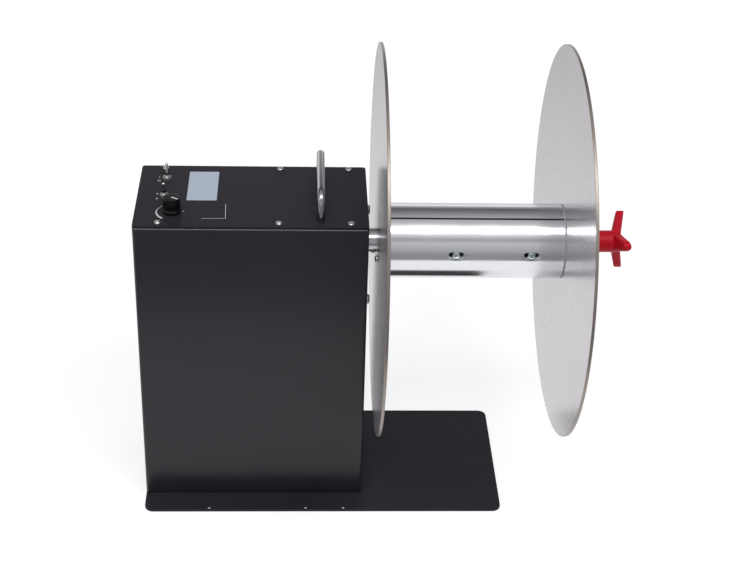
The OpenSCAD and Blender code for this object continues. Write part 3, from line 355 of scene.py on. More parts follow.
finishes = {
    # polyester powder on steel: satin black, broad soft reflections of the floor
    "housing_coat": powderCoat("satinBlackPowderCoat", "#2b292f", "#312f35", 0.7, 0.005, 0.3, 0.29),
    # the same coat, paler and glossier, on the lip's bends: a painted highlight, a narrow bright line along the
    # lip
    "bend_painted_highlight_coat": powderCoat("paintedHighlightPowderCoat", "#333137", "#39373d", 0.7, 0.003, 0.22, 0.5),
    # matt powder coat: even black that hardly mirrors the lamp
    "lid_coat": powderCoat("mattBlackPowderCoat", "#2c2930", "#322f36", 0.7, 0.005, 0.36, 0.08),
    # the housing's powder coat, matt and slightly paler: painted light on a flat dark plate against the floor
    "base_painted_light_coat": powderCoat("mattBlackPlateCoat", "#312f35", "#37353b", 0.7, 0.005, 0.36, 0.12),
    # bright zinc: small sharp glints on the pan heads
    "bright_screw": metal("brightZincPlate", "#d4d4d2", 0.24, 0.08, (0.6, 0.6, 0.6), 0.002, 2.0),
    # zinc paler and rougher than on the pan heads: painted light on the soft pale domes
    "wall_screw_painted_light": metal("paintedLightZincPlate", "#e4e4e2", 0.42, 0.06, (0.6, 0.6, 0.6), 0.002, 2.0),
    # clear passivated zinc: bright with a faint green cast
    "guide_screw": metal("passivatedZincPlate", "#ccd8d3", 0.2, 0.06, (0.6, 0.6, 0.6), 0.002, 2.0),
    # dull zinc: even grey without sharp glints
    "zinc_fastener": metal("dullZincPlate", "#b4b5b4", 0.34, 0.08, (0.6, 0.6, 0.6), 0.002, 2.0),
    # black oxide on steel: dark with a dim sheen
    "set_screw": metal("blackOxideSteel", "#47474a", 0.38, 0.06, (0.4, 0.4, 0.4), 0.002, 2.0),
    # polished round rod: dark and pale lines along the bow
    "handle_steel": metal("polishedSteelRod", "#aeafb1", 0.12, 0.04, (0.5, 12.0, 0.5), 0.0012, 8.0),
    # phenolic moulding: dull dark grey
    "switch_body": moulded("mouldedPhenolic", "#33363b", 0.5, 0.3, 0.004),
    # nickel on brass: warm white with crisp facets
    "plated_metal": metal("nickelPlatedBrass", "#d9d6d0", 0.18, 0.05, (0.3, 0.3, 0.3), 0.001, 1.5),
    # glossy ABS: deep black, narrow lights on the flutes
    "black_plastic": moulded("mouldedAbs", "#070708", 0.16, 0.25, 0.0015),
    # white inlay: clear and even
    "white_inlay": moulded("whiteInlayPlastic", "#ecebe6", 0.4, 0.3, 0.002),
    # milled aluminium: grey with cutter lines
    "drive_aluminium": metal("milledAluminium", "#c3c5c8", 0.36, 0.06, (1.2, 0.3, 6.0), 0.003),
    # turned steel: fine rings round the axis
    "turned_steel": metal("turnedSteel", "#bcbdbf", 0.28, 0.06, (0.25, 6.0, 6.0), 0.002),
    # stoved lacquer: mid grey with a soft gloss
    "motor_steel": powderCoat("motorLacquer", "#55585c", "#5f6266", 0.9, 0.004, 0.4, 0.4),
    # hobbed brass: yellow with bright tooth flanks
    "gear_brass": metal("hobbedBrass", "#d9b25c", 0.26, 0.06, (4.0, 0.3, 0.3), 0.002),
    # solder mask on glass fibre board: mottled green
    "circuit_board": moulded("solderMaskBoard", "#1f5a38", 0.36, 0.8, 0.006, "#184a2d"),
    # turned aluminium: pale with fine rings
    "turned_aluminium": metal("turnedAluminium", "#d6d7d9", 0.22, 0.06, (0.2, 8.0, 8.0), 0.002),
    # dark grey and dim aluminium: painted shade seen through the core's slots
    "cone_painted_shade": metal("paintedShadeAluminium", "#3c3c3f", 0.4, 0.06, (0.2, 8.0, 8.0), 0.002),
    # sanded sheet: pale satin with a fine speckle under a film of oxide;
    # the grit's marks are under a millimetre, drawn coarser so that they show;
    # the roughness stays under 0.27, since crossing it leaves specks after denoising
    "flange_aluminium": metal("sandedAluminiumSheet", "#e0dbde", 0.24, 0.02, (2.4, 2.4, 2.4), 0.03, 60.0,
                              0.47, "#c7c2c4"),
    # sawn sheet edge: tan grey without clear reflections
    "flange_rim": metal("sawnAluminiumEdge", "#9b928a", 0.4, 0.04, (0.6, 0.6, 0.6), 0.001, 20.0, 0.75),
    # drawn tube: bright bands along the core under a thin haze of oxide
    "core_aluminium": metal("drawnAluminiumTube", "#dfe0e3", 0.16, 0.06, (60.0, 0.5, 0.5), 0.0015, 30.0,
                            0.86),
    # ground steel: even pale grey
    "pressure_steel": metal("groundSteel", "#cfcfd1", 0.35, 0.06, (0.4, 3.0, 3.0), 0.002),
    # moulded rubber: pale grey without shine
    "pad_rubber": moulded("mouldedGreyRubber", "#c6c6c8", 0.6, 0.4, 0.006),
    # moulded nylon: strong red with a soft shine
    "red_plastic": moulded("mouldedRedNylon", "#de0727", 0.46, 0.35, 0.004, "#c6051f", 0.25),
    # printed foil: even pale blue
    "plate_foil": moulded("printedBlueFoil", "#c6d1e0", 0.4, 0.5, 0.001, "#bfcada"),
    # screen print: dull white
    "white_ink": moulded("screenPrintedInk", "#d9dadb", 0.5, 0.3, 0.001),
}
# the cones are coloured dark: painted shade in the slots over them
ownFinish = {"inner_cone": "cone_painted_shade", "outer_cone": "cone_painted_shade"}
for nodeName, node in nodes.items():
    node.data.materials.clear()
    node.data.materials.append(finishes[ownFinish.get(nodeName, slotOf[nodeName])])
print("materials made:", len(finishes))


# Plates: the base, the lid and the two flange discs, with round edges

plateShape = {
    "baseEdge": 0.5 * mm,
    "lidEdge": 0.25 * mm,
    "flangeEdge": 0.4 * mm,
    "baseCorner": 9 * mm,
    "lidCorner": 3.5 * mm,
    "baseScrewHole": 3.45 * mm,
    "lidScrewHole": 1.6 * mm,
    "handleHole": 2.6 * mm,
    "switchHole": 3.1 * mm,
    "controlHole": 3.6 * mm,
    "flangeScrewHole": 2.1 * mm,
    "holeSteps": 32,
    "discSteps": 256,
    "boreSteps": 64,
}


def holesAt(places, radius):
    return [circleOutline(place, radius, plateShape["holeSteps"]) for place in places]


def ledgeHoles():
    pair, single = mountOf["ledge_outer_holes"], mountOf["ledge_middle_hole"]
    half = np.array([pair["dims"]["spacing_x_mm"] / 2 * mm, 0])
    middle = np.array(pair["pos_m"][:2])
    radius = pair["dims"]["hole_r_mm"] * mm
    return holesAt([middle - half, middle + half, single["pos_m"][:2]], radius)


def makeBase(shape):
    low, high = boxOf("base_plate")
    outlines = [roundedRect(low, high, shape["baseCorner"]), *ledgeHoles(),
                *holesAt(middles("base_screws"), shape["baseScrewHole"])]
    mesh = plateMesh("basePlate", outlines, high[2] - low[2], shape["baseEdge"],
                     Matrix.Translation((0, 0, low[2])))
    # the plate gets the paler coat, which is painted light
    addPiece("basePlate", mesh, "chassis", finishes["base_painted_light_coat"], ["base_plate"])


def makeLid(shape):
    low, high = boxOf("lid")
    switches = [jointPlace["power_flip"], jointPlace["direction_flip"]]
    outlines = [roundedRect(low, high, shape["lidCorner"]),
                *holesAt(middles("lid_screws"), shape["lidScrewHole"]),
                *holesAt(middles("handle_screws"), shape["handleHole"]),
                *holesAt(switches, shape["switchHole"]),
                *holesAt([jointPlace["torque_turn"]], shape["controlHole"])]
    mesh = plateMesh("lidPlate", outlines, high[2] - low[2], shape["lidEdge"],
                     Matrix.Translation((0, 0, low[2])))
    addPiece("lidPlate", mesh, "chassis", finishes["lid_coat"], ["lid"])


def makeFlange(nodeName, screwNode, shape):
    # local x, y of the disc run along -z and y, so that its own z is the spindle
    low, high = boxOf(nodeName)
    toSpindle = Matrix(((0, 0, 1, low[0]), (0, 1, 0, axle[1]), (-1, 0, 0, axle[2]), (0, 0, 0, 1)))
    bore = fromAxle(readAll(nodes[nodeName].data.vertices, "co")).min()
    radius = (high[2] - low[2]) / 2
    reaching = [p for p in solidPoints(screwNode) if p[:, 0].min() < low[0] + shapeRule["onFace"]]
    screws = [(axle[2] - m[2], m[1] - axle[1]) for m in ((p.min(0) + p.max(0)) / 2 for p in reaching)]
    outlines = [circleOutline((0, 0), radius, shape["discSteps"], hole=False),
                circleOutline((0, 0), bore, shape["boreSteps"]),
                *holesAt(screws, shape["flangeScrewHole"])]
    name = "innerDisc" if nodeName == "inner_flange" else "outerDisc"
    mesh = plateMesh(name, outlines, high[0] - low[0], shape["flangeEdge"], toSpindle)
    addPiece(name, mesh, bodyOf[nodeName], finishes["flange_aluminium"], [nodeName])
    mesh.materials.append(finishes["flange_rim"])
    rim = fromAxle(readAll(mesh.polygons, "center")) > radius - shape["flangeEdge"]
    mesh.polygons.foreach_set("material_index", rim.astype(np.int32))


makeBase(plateShape)
makeLid(plateShape)
makeFlange("inner_flange", "inner_flange_screws", plateShape)
makeFlange("outer_flange", "outer_hub_screws", plateShape)
print("plates made")


# Screw heads with a cross recess, standing on their seat with the shank below

screwShape = {
    # superellipse power of a head's section: 2 is a dome, higher is flatter with a tighter rim
    "panPower": 3.0,
    "domePower": 3.2,
    "recessReach": 0.56,
    "recessWidth": 0.17,
    "recessDepth": 0.5,
    "recessSoft": 0.07,
    # the crosses of neighbouring screws are turned by this, in radians
    "turnStep": 2.4,
    "ringSteps": 30,
    "turnSteps": 72,
    # the shank's tip: its flat end and its slope, as shares of the shank's radius
    "tipFlat": 0.8,
    "tipSlope": 0.25,
    # points this far out, as a share of the head's radius, are the head's rim
    "rimShare": 0.97,
    # keeps the side direction off the axis
    "offAxis": 0.1,
}


def screwGrid(head, tall, shank, length, power, shape):
    # rows run from the shank's tip over the head's rim to its centre: z = h (1 - (r/R)^p)^(1/p),
    # less a cross whose depth fades over a soft edge
    ring = np.sin(np.linspace(np.pi / 2, 0, shape["ringSteps"])) * head
    dome = tall * (1 - (ring / head) ** power) ** (1 / power)
    tip = [[0, -length], [shape["tipFlat"] * shank, -length], [shank, shape["tipSlope"] * shank - length],
           [shank, 0]]
    grid = lathe(np.concatenate([tip, np.stack([ring, dome], 1)]), shape["turnSteps"])
    across = np.abs(grid[..., :2]) / head
    bar = np.array([shape["recessReach"], shape["recessWidth"]])
    bars = [np.clip((half - across) / shape["recessSoft"] + 0.5, 0, 1).prod(-1) for half in (bar, bar[::-1])]
    cross = np.maximum(*bars)
    cross[:len(tip)] = 0
    grid[..., 2] -= cross * tall * shape["recessDepth"]
    return grid


def makeScrews(nodeName, pieceName, aim, power, shape, finish=None):
    # every solid of the node gives its own axis line, seat, head and shank sizes
    grids = []
    for number, points in enumerate(solidPoints(nodeName)):
        axis = aim(points)
        side = np.cross(axis, np.roll(axis, 1) + shape["offAxis"])
        side /= np.linalg.norm(side)
        other = np.cross(axis, side)
        along, u, v = points @ axis, points @ side, points @ other
        centre = side * (u.min() + u.max()) / 2 + other * (v.min() + v.max()) / 2
        away = np.hypot(u - centre @ side, v - centre @ other)
        head = away.max()
        seat = along[away > shape["rimShare"] * head].min()
        shank = away[along < along.min() + 2 * shapeRule["onFace"]].max()
        spin = shape["turnStep"] * number
        grid = screwGrid(head, along.max() - seat, shank, seat - along.min(), power, shape)
        grids.append(placed(grid, centre + axis * seat, axis, side * math.cos(spin) + other * math.sin(spin)))
    slotName = slotOf[nodeName]
    addPiece(pieceName, meshFromGrids(pieceName, grids, sharp=50), bodyOf[nodeName],
             finishes[finish or slotName], [nodeName])


def outFromAxle(points):
    away = (points.mean(0) - axle) * (0, 1, 1)
    return away / np.linalg.norm(away)


def awayFromDisc(points):
    return -alongX if points[:, 0].min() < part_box("inner_flange")[0].x else alongX


makeScrews("lid_screws", "lidScrewHeads", lambda points: alongZ, screwShape["panPower"], screwShape)
# the dome heads get the paler zinc, which is painted light
makeScrews("drive_plate_screws", "wallScrewHeads", lambda points: alongX, screwShape["domePower"], screwShape,
           "wall_screw_painted_light")
makeScrews("inner_flange_screws", "flangeScrewHeads", awayFromDisc, screwShape["panPower"], screwShape)
makeScrews("guide_screws", "guideScrewHeads", outFromAxle, screwShape["panPower"], screwShape, "guide_screw")
print("screws made")


# Carry handle: a round rod carried along two legs, two quarter bends and a straight grip

handleShape = {"bendRadius": 12 * mm, "bendSteps": 14, "rodSteps": 40, "footEdge": 0.6 * mm}


def makeHandle(shape):
    # centre line in the plane x = const; the rod's circle turns with the line's tangent
    low, high = boxOf("carry_handle")
    rod = (high[0] - low[0]) / 2
    bend = shape["bendRadius"]
    y0, y1, top = low[1] + rod, high[1] - rod, high[2] - rod
    quarter = np.linspace(0, np.pi / 2, shape["bendSteps"])
    front = np.stack([y0 + bend - bend * np.cos(quarter), top - bend + bend * np.sin(quarter)], 1)
    back = np.stack([y0 + y1 - front[::-1, 0], front[::-1, 1]], 1)
    feet = low[2] + np.array([0, shape["footEdge"]])
    line = np.concatenate([np.stack([[y0, y0], feet], 1), front, back, np.stack([[y1, y1], feet[::-1]], 1)])
    way = np.gradient(line, axis=0)
    way /= np.linalg.norm(way, axis=1, keepdims=True)
    way[[0, 1]], way[[-2, -1]] = (0, 1), (0, -1)
    wide = np.full(len(line), rod)
    wide[[0, -1]] = rod - shape["footEdge"]
    turn = np.linspace(0, 2 * np.pi, shape["rodSteps"], endpoint=False)
    grid = np.empty((len(line), len(turn), 3))
    grid[..., 0] = (low[0] + high[0]) / 2 + wide[:, None] * np.cos(turn)
    grid[..., 1] = line[:, :1] - way[:, 1:] * wide[:, None] * np.sin(turn)
    grid[..., 2] = line[:, 1:] + way[:, :1] * wide[:, None] * np.sin(turn)
    ends = [np.broadcast_to(grid[k].mean(0), grid[k].shape)[None] for k in (0, -1)]
    grid = np.concatenate([ends[0], grid, ends[1]])
    addPiece("carryBow", meshFromGrids("carryBow", [grid], sharp=40), "chassis", finishes["handle_steel"],
             ["carry_handle"])


makeHandle(handleShape)


# Wing nut: a turned hub and three swept arms, grown together with soft joins

nutShape = {
    "armCount": 3,
    "firstArm": 20,
    "hubLength": 26.5 * mm,
    "armThick": 10 * mm,
    "tipThick": 8 * mm,
    "armSweep": 8 * mm,
    # half width at the root, as a share of the hub's diameter
    "rootWide": 0.46,
    "tipRadius": 4.4 * mm,
    "edge": 1.0 * mm,
    # superellipse power of an arm's section
    "power": 4.5,
    # the arm thins and sweeps from this share of the hub's radius on
    "armStart": 0.3,
    # where the half width is under this share of the tip's radius, the thickness falls by this power
    "tipShare": 0.5,
    "tipEase": 0.4,
    "hubSteps": 96,
    "armSteps": 48,
    "sectionSteps": 40,
    "voxel": 0.45 * mm,
    "smoothFactor": 0.5,
    "smoothSteps": 4,
}


def makeNut(shape):
    # hub: a lathe; arm: a superellipse section |u|^p + |v|^p = 1 carried outwards, its half width
    # falling from root to tip and ending in a round tip, its middle swept away from the flange
    points = solidPoints("wing_nut")[0]
    away = fromAxle(points)
    start = points[:, 0].min()
    foot = away[points[:, 0] < start + shapeRule["onFace"]]
    hub, bore = foot.max(), foot.min()
    boreEnd = points[away < bore + shapeRule["onFace"], 0].max() - start
    longest = away.max()
    total = shape["hubLength"] + shape["armThick"]
    outer = softened([(bore, boreEnd), (bore, 0), (hub, 0), (hub, total), (0, total)], shape["edge"])
    profile = np.concatenate([[(0, boreEnd)], outer])
    grids = [placed(lathe(profile, shape["hubSteps"]), (start, axle[1], axle[2]), alongX, alongZ)]
    s = np.sin(np.linspace(0, np.pi / 2, shape["armSteps"]))
    out = s * longest
    tipStart = longest - shape["tipRadius"]
    straight = shape["rootWide"] * 2 * hub * (1 - s) + shape["tipRadius"] * s
    roundTip = np.sqrt(np.clip(shape["tipRadius"] ** 2 - np.clip(out - tipStart, 0, None) ** 2, 0, None))
    half = np.minimum(straight, np.where(out > tipStart, roundTip, np.inf))
    armStart = shape["armStart"] * hub
    along = np.clip((out - armStart) / (longest - armStart), 0, 1)
    body = shape["armThick"] + (shape["tipThick"] - shape["armThick"]) * along
    middle = shape["armSweep"] * along + body / 2
    thick = body / 2 * np.minimum(1, (half / (shape["tipShare"] * shape["tipRadius"])) ** shape["tipEase"])
    turn = np.linspace(0, 2 * np.pi, shape["sectionSteps"], endpoint=False)
    u = np.sign(np.cos(turn)) * np.abs(np.cos(turn)) ** (2 / shape["power"])
    v = np.sign(np.sin(turn)) * np.abs(np.sin(turn)) ** (2 / shape["power"])
    arm = np.stack([np.repeat(out[:, None], len(turn), 1), half[:, None] * u,
                    middle[:, None] + thick[:, None] * v], -1)
    arm = np.concatenate([np.broadcast_to(arm[0].mean(0), arm[0].shape)[None], arm])
    for k in range(shape["armCount"]):
        lift = math.radians(shape["firstArm"] + 360 * k / shape["armCount"])
        way = -alongY * math.cos(lift) + alongZ * math.sin(lift)
        grids.append(placed(arm, (start + shape["hubLength"], axle[1], axle[2]), alongX, way))
    mesh = meshFromGrids("wingNut", grids, sharp=180)
    piece = addPiece("wingNut", mesh, "nut", finishes["red_plastic"], ["wing_nut"])
    grown = piece.modifiers.new("grown", "REMESH")
    grown.mode = "VOXEL"
    grown.voxel_size = shape["voxel"]
    grown.use_smooth_shade = True
    eased = piece.modifiers.new("eased", "SMOOTH")
    eased.factor = shape["smoothFactor"]
    eased.iterations = shape["smoothSteps"]


makeNut(nutShape)
print("handle and nut made")


# Torque knob: a fluted grip over a smooth skirt

knobShape = {
    "flutes": 18,
    "fluteDepth": 0.06,
    "skirtHeight": 3.2 * mm,
    # radii and heights as shares of the knob's radius and the skirt's height
    "topShare": 0.92,
    "neckShare": 0.95,
    "skirtShare": 0.65,
    "footBand": 0.3 * mm,
    # heights over which the flutes fade in and out
    "fluteStart": 1.2 * mm,
    "fluteEnd": 0.7 * mm,
    "turnSteps": 288,
    "wallSplit": 4,
    "edge": 0.6 * mm,
    "edgeSteps": 7,
    "hollow": 7.0 * mm,
    "hollowHeight": 5.1 * mm,
    "pointerAngle": -33,
    # the white bar stands this far out of the grip's top
    "pointerRise": 0.12 * mm,
}


def makeKnob(shape):
    # r(t, z) = R(z) (1 - d(z) (1/2 - 1/2 cos(n t))^2): flutes that fade out at the skirt and at the rim
    low, high = boxOf("torque_knob")
    radius, tall = (high[0] - low[0]) / 2, high[2] - low[2]
    skirt, top, cap = shape["skirtHeight"], shape["topShare"] * radius, tall - shape["pointerRise"]
    wall = softened([(radius - shape["footBand"], 0), (radius, 0), (radius, shape["skirtShare"] * skirt),
                     (shape["neckShare"] * radius, skirt), (top, cap), (0, cap)],
                    shape["edge"], shape["edgeSteps"])
    split = np.linspace(wall[:-1], wall[1:], shape["wallSplit"], endpoint=False)
    fine = np.concatenate([split.swapaxes(0, 1).reshape(-1, 2), wall[-1:]])
    inner = [(0, shape["hollowHeight"]), (shape["hollow"], shape["hollowHeight"]), (shape["hollow"], 0)]
    grid = lathe(np.concatenate([inner, fine]), shape["turnSteps"])
    height = grid[..., 2]
    fade = (np.clip((height - skirt) / shape["fluteStart"], 0, 1)
            * np.clip((tall - height) / shape["fluteEnd"], 0, 1))
    turn = np.linspace(0, 2 * np.pi, shape["turnSteps"], endpoint=False) - math.radians(shape["pointerAngle"])
    groove = (0.5 - 0.5 * np.cos(shape["flutes"] * turn)) ** 2
    squeeze = 1 - shape["fluteDepth"] * fade * groove
    squeeze[:len(inner)] = 1
    grid[..., :2] *= squeeze[..., None]
    grid += (*((low + high) / 2)[:2], low[2])
    addPiece("torqueGrip", meshFromGrids("torqueGrip", [grid], sharp=40), "knob", finishes["black_plastic"],
             ["torque_knob"])


makeKnob(knobShape)


# Switch hardware: chamfered hexagon nuts on washers, and threaded bushings

switchShape = {
    "nutAcross": 8.0 * mm,
    "nutSteps": 96,
    # heights of a nut's rows, as shares of its height: bore edge, chamfer, side, chamfer, bore edge
    "nutLevels": (0, 0, 0.06, 0.14, 0.24, 0.5, 0.76, 0.86, 0.94, 1, 1),
    # the chamfer starts at this share of the width across the flats
    "faceShare": 0.49,
    "washer": 0.5 * mm,
    "washerShare": 0.54,
    "washerEdge": 0.12 * mm,
    "washerSteps": 3,
    "nutHeight": 2.0 * mm,
    "chamferSlope": 1.8,
    "cornerTurn": 30,
    "bushing": 3.0 * mm,
    "bushingHeight": 5.5 * mm,
    "boreShare": 0.82,
    "pitch": 0.75 * mm,
    "threadRise": 0.16 * mm,
    "threadSteps": 72,
    "rowsPerPitch": 10,
}


def hexNutGrid(across, bore, base, tall, shape):
    # r(t, z) is the smaller of the hexagon's side and a cone at each face
    turn = np.linspace(0, 2 * np.pi, shape["nutSteps"], endpoint=False)
    side = (turn - math.radians(shape["cornerTurn"])) % (np.pi / 3) - np.pi / 6
    hexagon = across / 2 / np.cos(side)
    z = base + tall * np.array(shape["nutLevels"])
    toFace = np.minimum(z - base, base + tall - z)
    cone = across * shape["faceShare"] + shape["chamferSlope"] * toFace
    radius = np.minimum(hexagon[None], cone[:, None])
    radius[[0, -1]] = bore
    return np.stack([radius * np.cos(turn), radius * np.sin(turn), np.repeat(z[:, None], len(turn), 1)], -1)


def threadGrid(root, base, top, inner, shape):
    # r(t, z) = root + rise * triangle wave of (z / pitch - t / 2 pi), run out at both ends
    turn = np.linspace(0, 2 * np.pi, shape["threadSteps"], endpoint=False)
    z = np.linspace(base, top, int((top - base) / shape["pitch"] * shape["rowsPerPitch"]) + 2)
    phase = (z[:, None] / shape["pitch"] - turn / (2 * np.pi)) % 1
    runOut = np.clip(np.minimum(z - base, top - z) / shape["pitch"], 0, 1)[:, None]
    radius = root + shape["threadRise"] * (1 - np.abs(2 * phase - 1)) * runOut
    wall = np.stack([radius * np.cos(turn), radius * np.sin(turn), np.repeat(z[:, None], len(turn), 1)], -1)
    ends = [lathe([(inner, height)], len(turn)) for height in (base, top)]
    return np.concatenate([ends[0], wall, ends[1]])


def makeSwitchHardware(shape):
    nutTop = shape["washer"] + shape["nutHeight"]
    pivots = [jointPlace["power_flip"], jointPlace["direction_flip"]]
    seats = [np.array([p[0], p[1], lidTop]) for p in pivots]
    wide = shape["washerShare"] * shape["nutAcross"]
    washer = softened([(shape["bushing"], 0), (wide, 0), (wide, shape["washer"]),
                       (shape["bushing"], shape["washer"])], shape["washerEdge"], shape["washerSteps"])
    rings = [lathe(washer), hexNutGrid(shape["nutAcross"], shape["bushing"], shape["washer"],
                                       shape["nutHeight"], shape)]
    mesh = meshFromGrids("switchNuts", [ring + seat for ring in rings for seat in seats], sharp=25,
                         closeRows=True)
    addPiece("switchNuts", mesh, "chassis", finishes["plated_metal"], ["switch_nuts"])
    thread = threadGrid(shape["bushing"], nutTop, shape["bushingHeight"],
                        shape["boreShare"] * shape["bushing"], shape)
    mesh = meshFromGrids("bushingThreads", [thread + seat for seat in seats], sharp=60, closeRows=True)
    addPiece("bushingThreads", mesh, "chassis", finishes["plated_metal"], ())


makeSwitchHardware(switchShape)
print("controls made")


# Print on the lid, in millimetres: a pale blank plate, white lines, switch marks and the knob's scale

lidPrint = {
    "plateLow": (-139.4, -6.7),
    "plateHigh": (-109.5, 54.3),
    "plateCorner": 0.8,
    "plateThick": 0.12,
    "plateEdge": 0.04,
    "ink": 0.03,
    # print and plate reach this far into the lid's top
    "sunk": 0.02,
    # angled frame line beside the knob
    "frameLine": ((-122.6, -43.2), (-99.3, -42.9), (-100.2, -13.5)),
    "frameWidth": 0.5,
    # scale that widens round the knob: start and end angle from +X, radius, widths at the ends
    "scaleAngles": (127, 235),
    "scaleRadius": 15.4,
    "scaleWidths": (0.3, 2.4),
    "dotAngle": 8,
    "dotRadius": 11.2,
    "dotSize": 0.8,
    "dotSteps": 13,
    # slightly over 1, so that the dot's ends keep some width
    "dotRound": 1.0001,
    # on and off marks beside the power switch, and a mark for each way beside the direction switch
    "onMark": (-7.6, 3.4),
    "offMark": (-7.6, -4.4),
    "wayMarks": ((-7.0, 5.4), (-7.0, -5.4)),
    "markTall": 3.2,
    "markWidth": 0.55,
    "arrowHalf": 1.2,
    "arrowWidths": (2.4, 0.1),
}


def ribbon(path, widths, bottom, top):
    # a flat band with straight edges: p(s) + w(s)/2 n(s), with n the path's normal, closed at both ends
    path = np.asarray(path, float)
    way = np.gradient(path, axis=0)
    normal = np.stack([-way[:, 1], way[:, 0]], 1) / np.linalg.norm(way, axis=1, keepdims=True)
    half = np.broadcast_to(np.asarray(widths, float) / 2, len(path))[:, None] * normal
    section = [(path + half, bottom), (path + half, top), (path - half, top), (path - half, bottom)]
    grid = np.stack([np.column_stack([p, np.full(len(p), h)]) for p, h in section], 1)
    ends = [np.broadcast_to(grid[k].mean(0), grid[k].shape)[None] for k in (0, -1)]
    return np.concatenate([ends[0], grid, ends[1]]) * mm


def arcPath(centre, radius, start, stop, steps=40):
    turn = np.radians(np.linspace(start, stop, steps))
    return np.asarray(centre) + radius * np.stack([np.cos(turn), np.sin(turn)], 1)


def makeLidPrint(shape):
    top = lidTop / mm
    ink = (top - shape["sunk"], top + shape["ink"])
    low, high = (np.array(shape[k]) * mm for k in ("plateLow", "plateHigh"))
    plate = plateMesh("blankPlate", [roundedRect(low, high, shape["plateCorner"] * mm)],
                      (shape["plateThick"] + shape["sunk"]) * mm, shape["plateEdge"] * mm,
                      Matrix.Translation((0, 0, lidTop - shape["sunk"] * mm)))
    addPiece("blankPlate", plate, "chassis", finishes["plate_foil"], ())
    knob, power, direction = (jointPlace[k][:2] / mm for k in ("torque_turn", "power_flip", "direction_flip"))
    line = np.array(shape["frameLine"])
    scale = arcPath(knob, shape["scaleRadius"], *shape["scaleAngles"])
    dotAngle = math.radians(shape["dotAngle"])
    dot = knob + shape["dotRadius"] * np.array([math.cos(dotAngle), math.sin(dotAngle)])
    dotSpan = np.linspace(-1, 1, shape["dotSteps"])
    tall = shape["markTall"] / 2
    off = arcPath(power + shape["offMark"], tall - shape["markWidth"] / 2, 0, 360)
    grids = [ribbon(line[:2], shape["frameWidth"], *ink), ribbon(line[1:], shape["frameWidth"], *ink),
             ribbon(scale, np.linspace(*shape["scaleWidths"], len(scale)), *ink),
             ribbon(dot + shape["dotSize"] * np.stack([dotSpan, 0 * dotSpan], 1),
                    2 * shape["dotSize"] * np.sqrt(shape["dotRound"] - dotSpan ** 2), *ink),
             ribbon(off, shape["markWidth"], *ink),
             ribbon(power + shape["onMark"] + np.array([(0, -tall), (0, tall)]), shape["markWidth"], *ink)]
    for mark in shape["wayMarks"]:
        half = np.sign(mark[1]) * np.array((0, shape["arrowHalf"]))
        arrow = direction + mark + np.array([-half, half])
        grids.append(ribbon(arrow, shape["arrowWidths"], *ink))
    addPiece("lidMarks", meshFromGrids("lidMarks", grids, sharp=30), "chassis", finishes["white_ink"], ())


makeLidPrint(lidPrint)
print("print made")


# Core leaves and turned hubs: the solids' own shape with broken edges

brokenEdges = {
    # name of the piece and width of its broken edges in millimetres
    "core_leaf_1": ("coreLeafFront", 0.5),
    "core_leaf_2": ("coreLeafBack", 0.5),
    "core_leaf_3": ("coreLeafBelow", 0.5),
    "inner_hub": ("innerHub", 0.5),
    "outer_hub": ("outerHub", 0.5),
    "housing_shell": ("housingWalls", 0.5),
}
edgeRule = {
    "joinGap": 2e-6,
    # in degrees: faces that differ by less become one, edges that are sharper get broken
    "flatAngle": 0.4,
    "sharpAngle": 30,
    "segments": 3,
    # upward part of a face's normal on the housing's bends
    "bendRise": (0.2, 0.97),
}


def breakEdges(nodeName, pieceName, widthMm, rule):
    # merges the node's corners, joins its flat faces, and bevels its sharp edges
    points, faces = mergedFaces(nodeName)
    mesh = bpy.data.meshes.new(pieceName)
    mesh.from_pydata(points.tolist(), [], faces.tolist())
    bm = bmesh.new()
    bm.from_mesh(mesh)
    bmesh.ops.remove_doubles(bm, verts=bm.verts, dist=rule["joinGap"])
    bmesh.ops.dissolve_limit(bm, angle_limit=math.radians(rule["flatAngle"]), verts=bm.verts, edges=bm.edges)
    bm.to_mesh(mesh)
    bm.free()
    sharp = math.radians(rule["sharpAngle"])
    mesh.shade_smooth()
    mesh.set_sharp_from_angle(angle=sharp)
    slotName = slotOf[nodeName]
    piece = addPiece(pieceName, mesh, bodyOf[nodeName], finishes[slotName], [nodeName])
    bevel = piece.modifiers.new("brokenEdge", "BEVEL")
    bevel.limit_method = "ANGLE"
    bevel.angle_limit = sharp
    bevel.width = widthMm * mm
    bevel.segments = rule["segments"]
    bevel.use_clamp_overlap = True
    bevel.harden_normals = True
    return piece


def paintBendHighlight(mesh, rule):
    # the lip's bends look neither level nor straight up; a paler, glossier coat there is a painted highlight
    mesh.materials.append(finishes["bend_painted_highlight_coat"])
    rise = readAll(mesh.polygons, "normal")[:, 2]
    low, high = rule["bendRise"]
    mesh.polygons.foreach_set("material_index", ((rise > low) & (rise < high)).astype(np.int32))


for nodeName, (pieceName, widthMm) in brokenEdges.items():
    broken = breakEdges(nodeName, pieceName, widthMm, edgeRule)
    if nodeName == "housing_shell":
        # the housing's bends get the painted highlight
        paintBendHighlight(broken.data, edgeRule)
print("broken edges made")


# Stage: pale floor, soft light, camera at the photograph's place

cameraView = {
    # fitted to the photograph's edges, angles in degrees
    "placeMm": (-26.547, -1411.135, 1099.066),
    "yaw": 3.159,
    "pitch": 31.519,
    "roll": -1.964,
    "lensMm": 76.907,
    "sensorMm": 36.0,
    "clip": (0.05, 50),
}


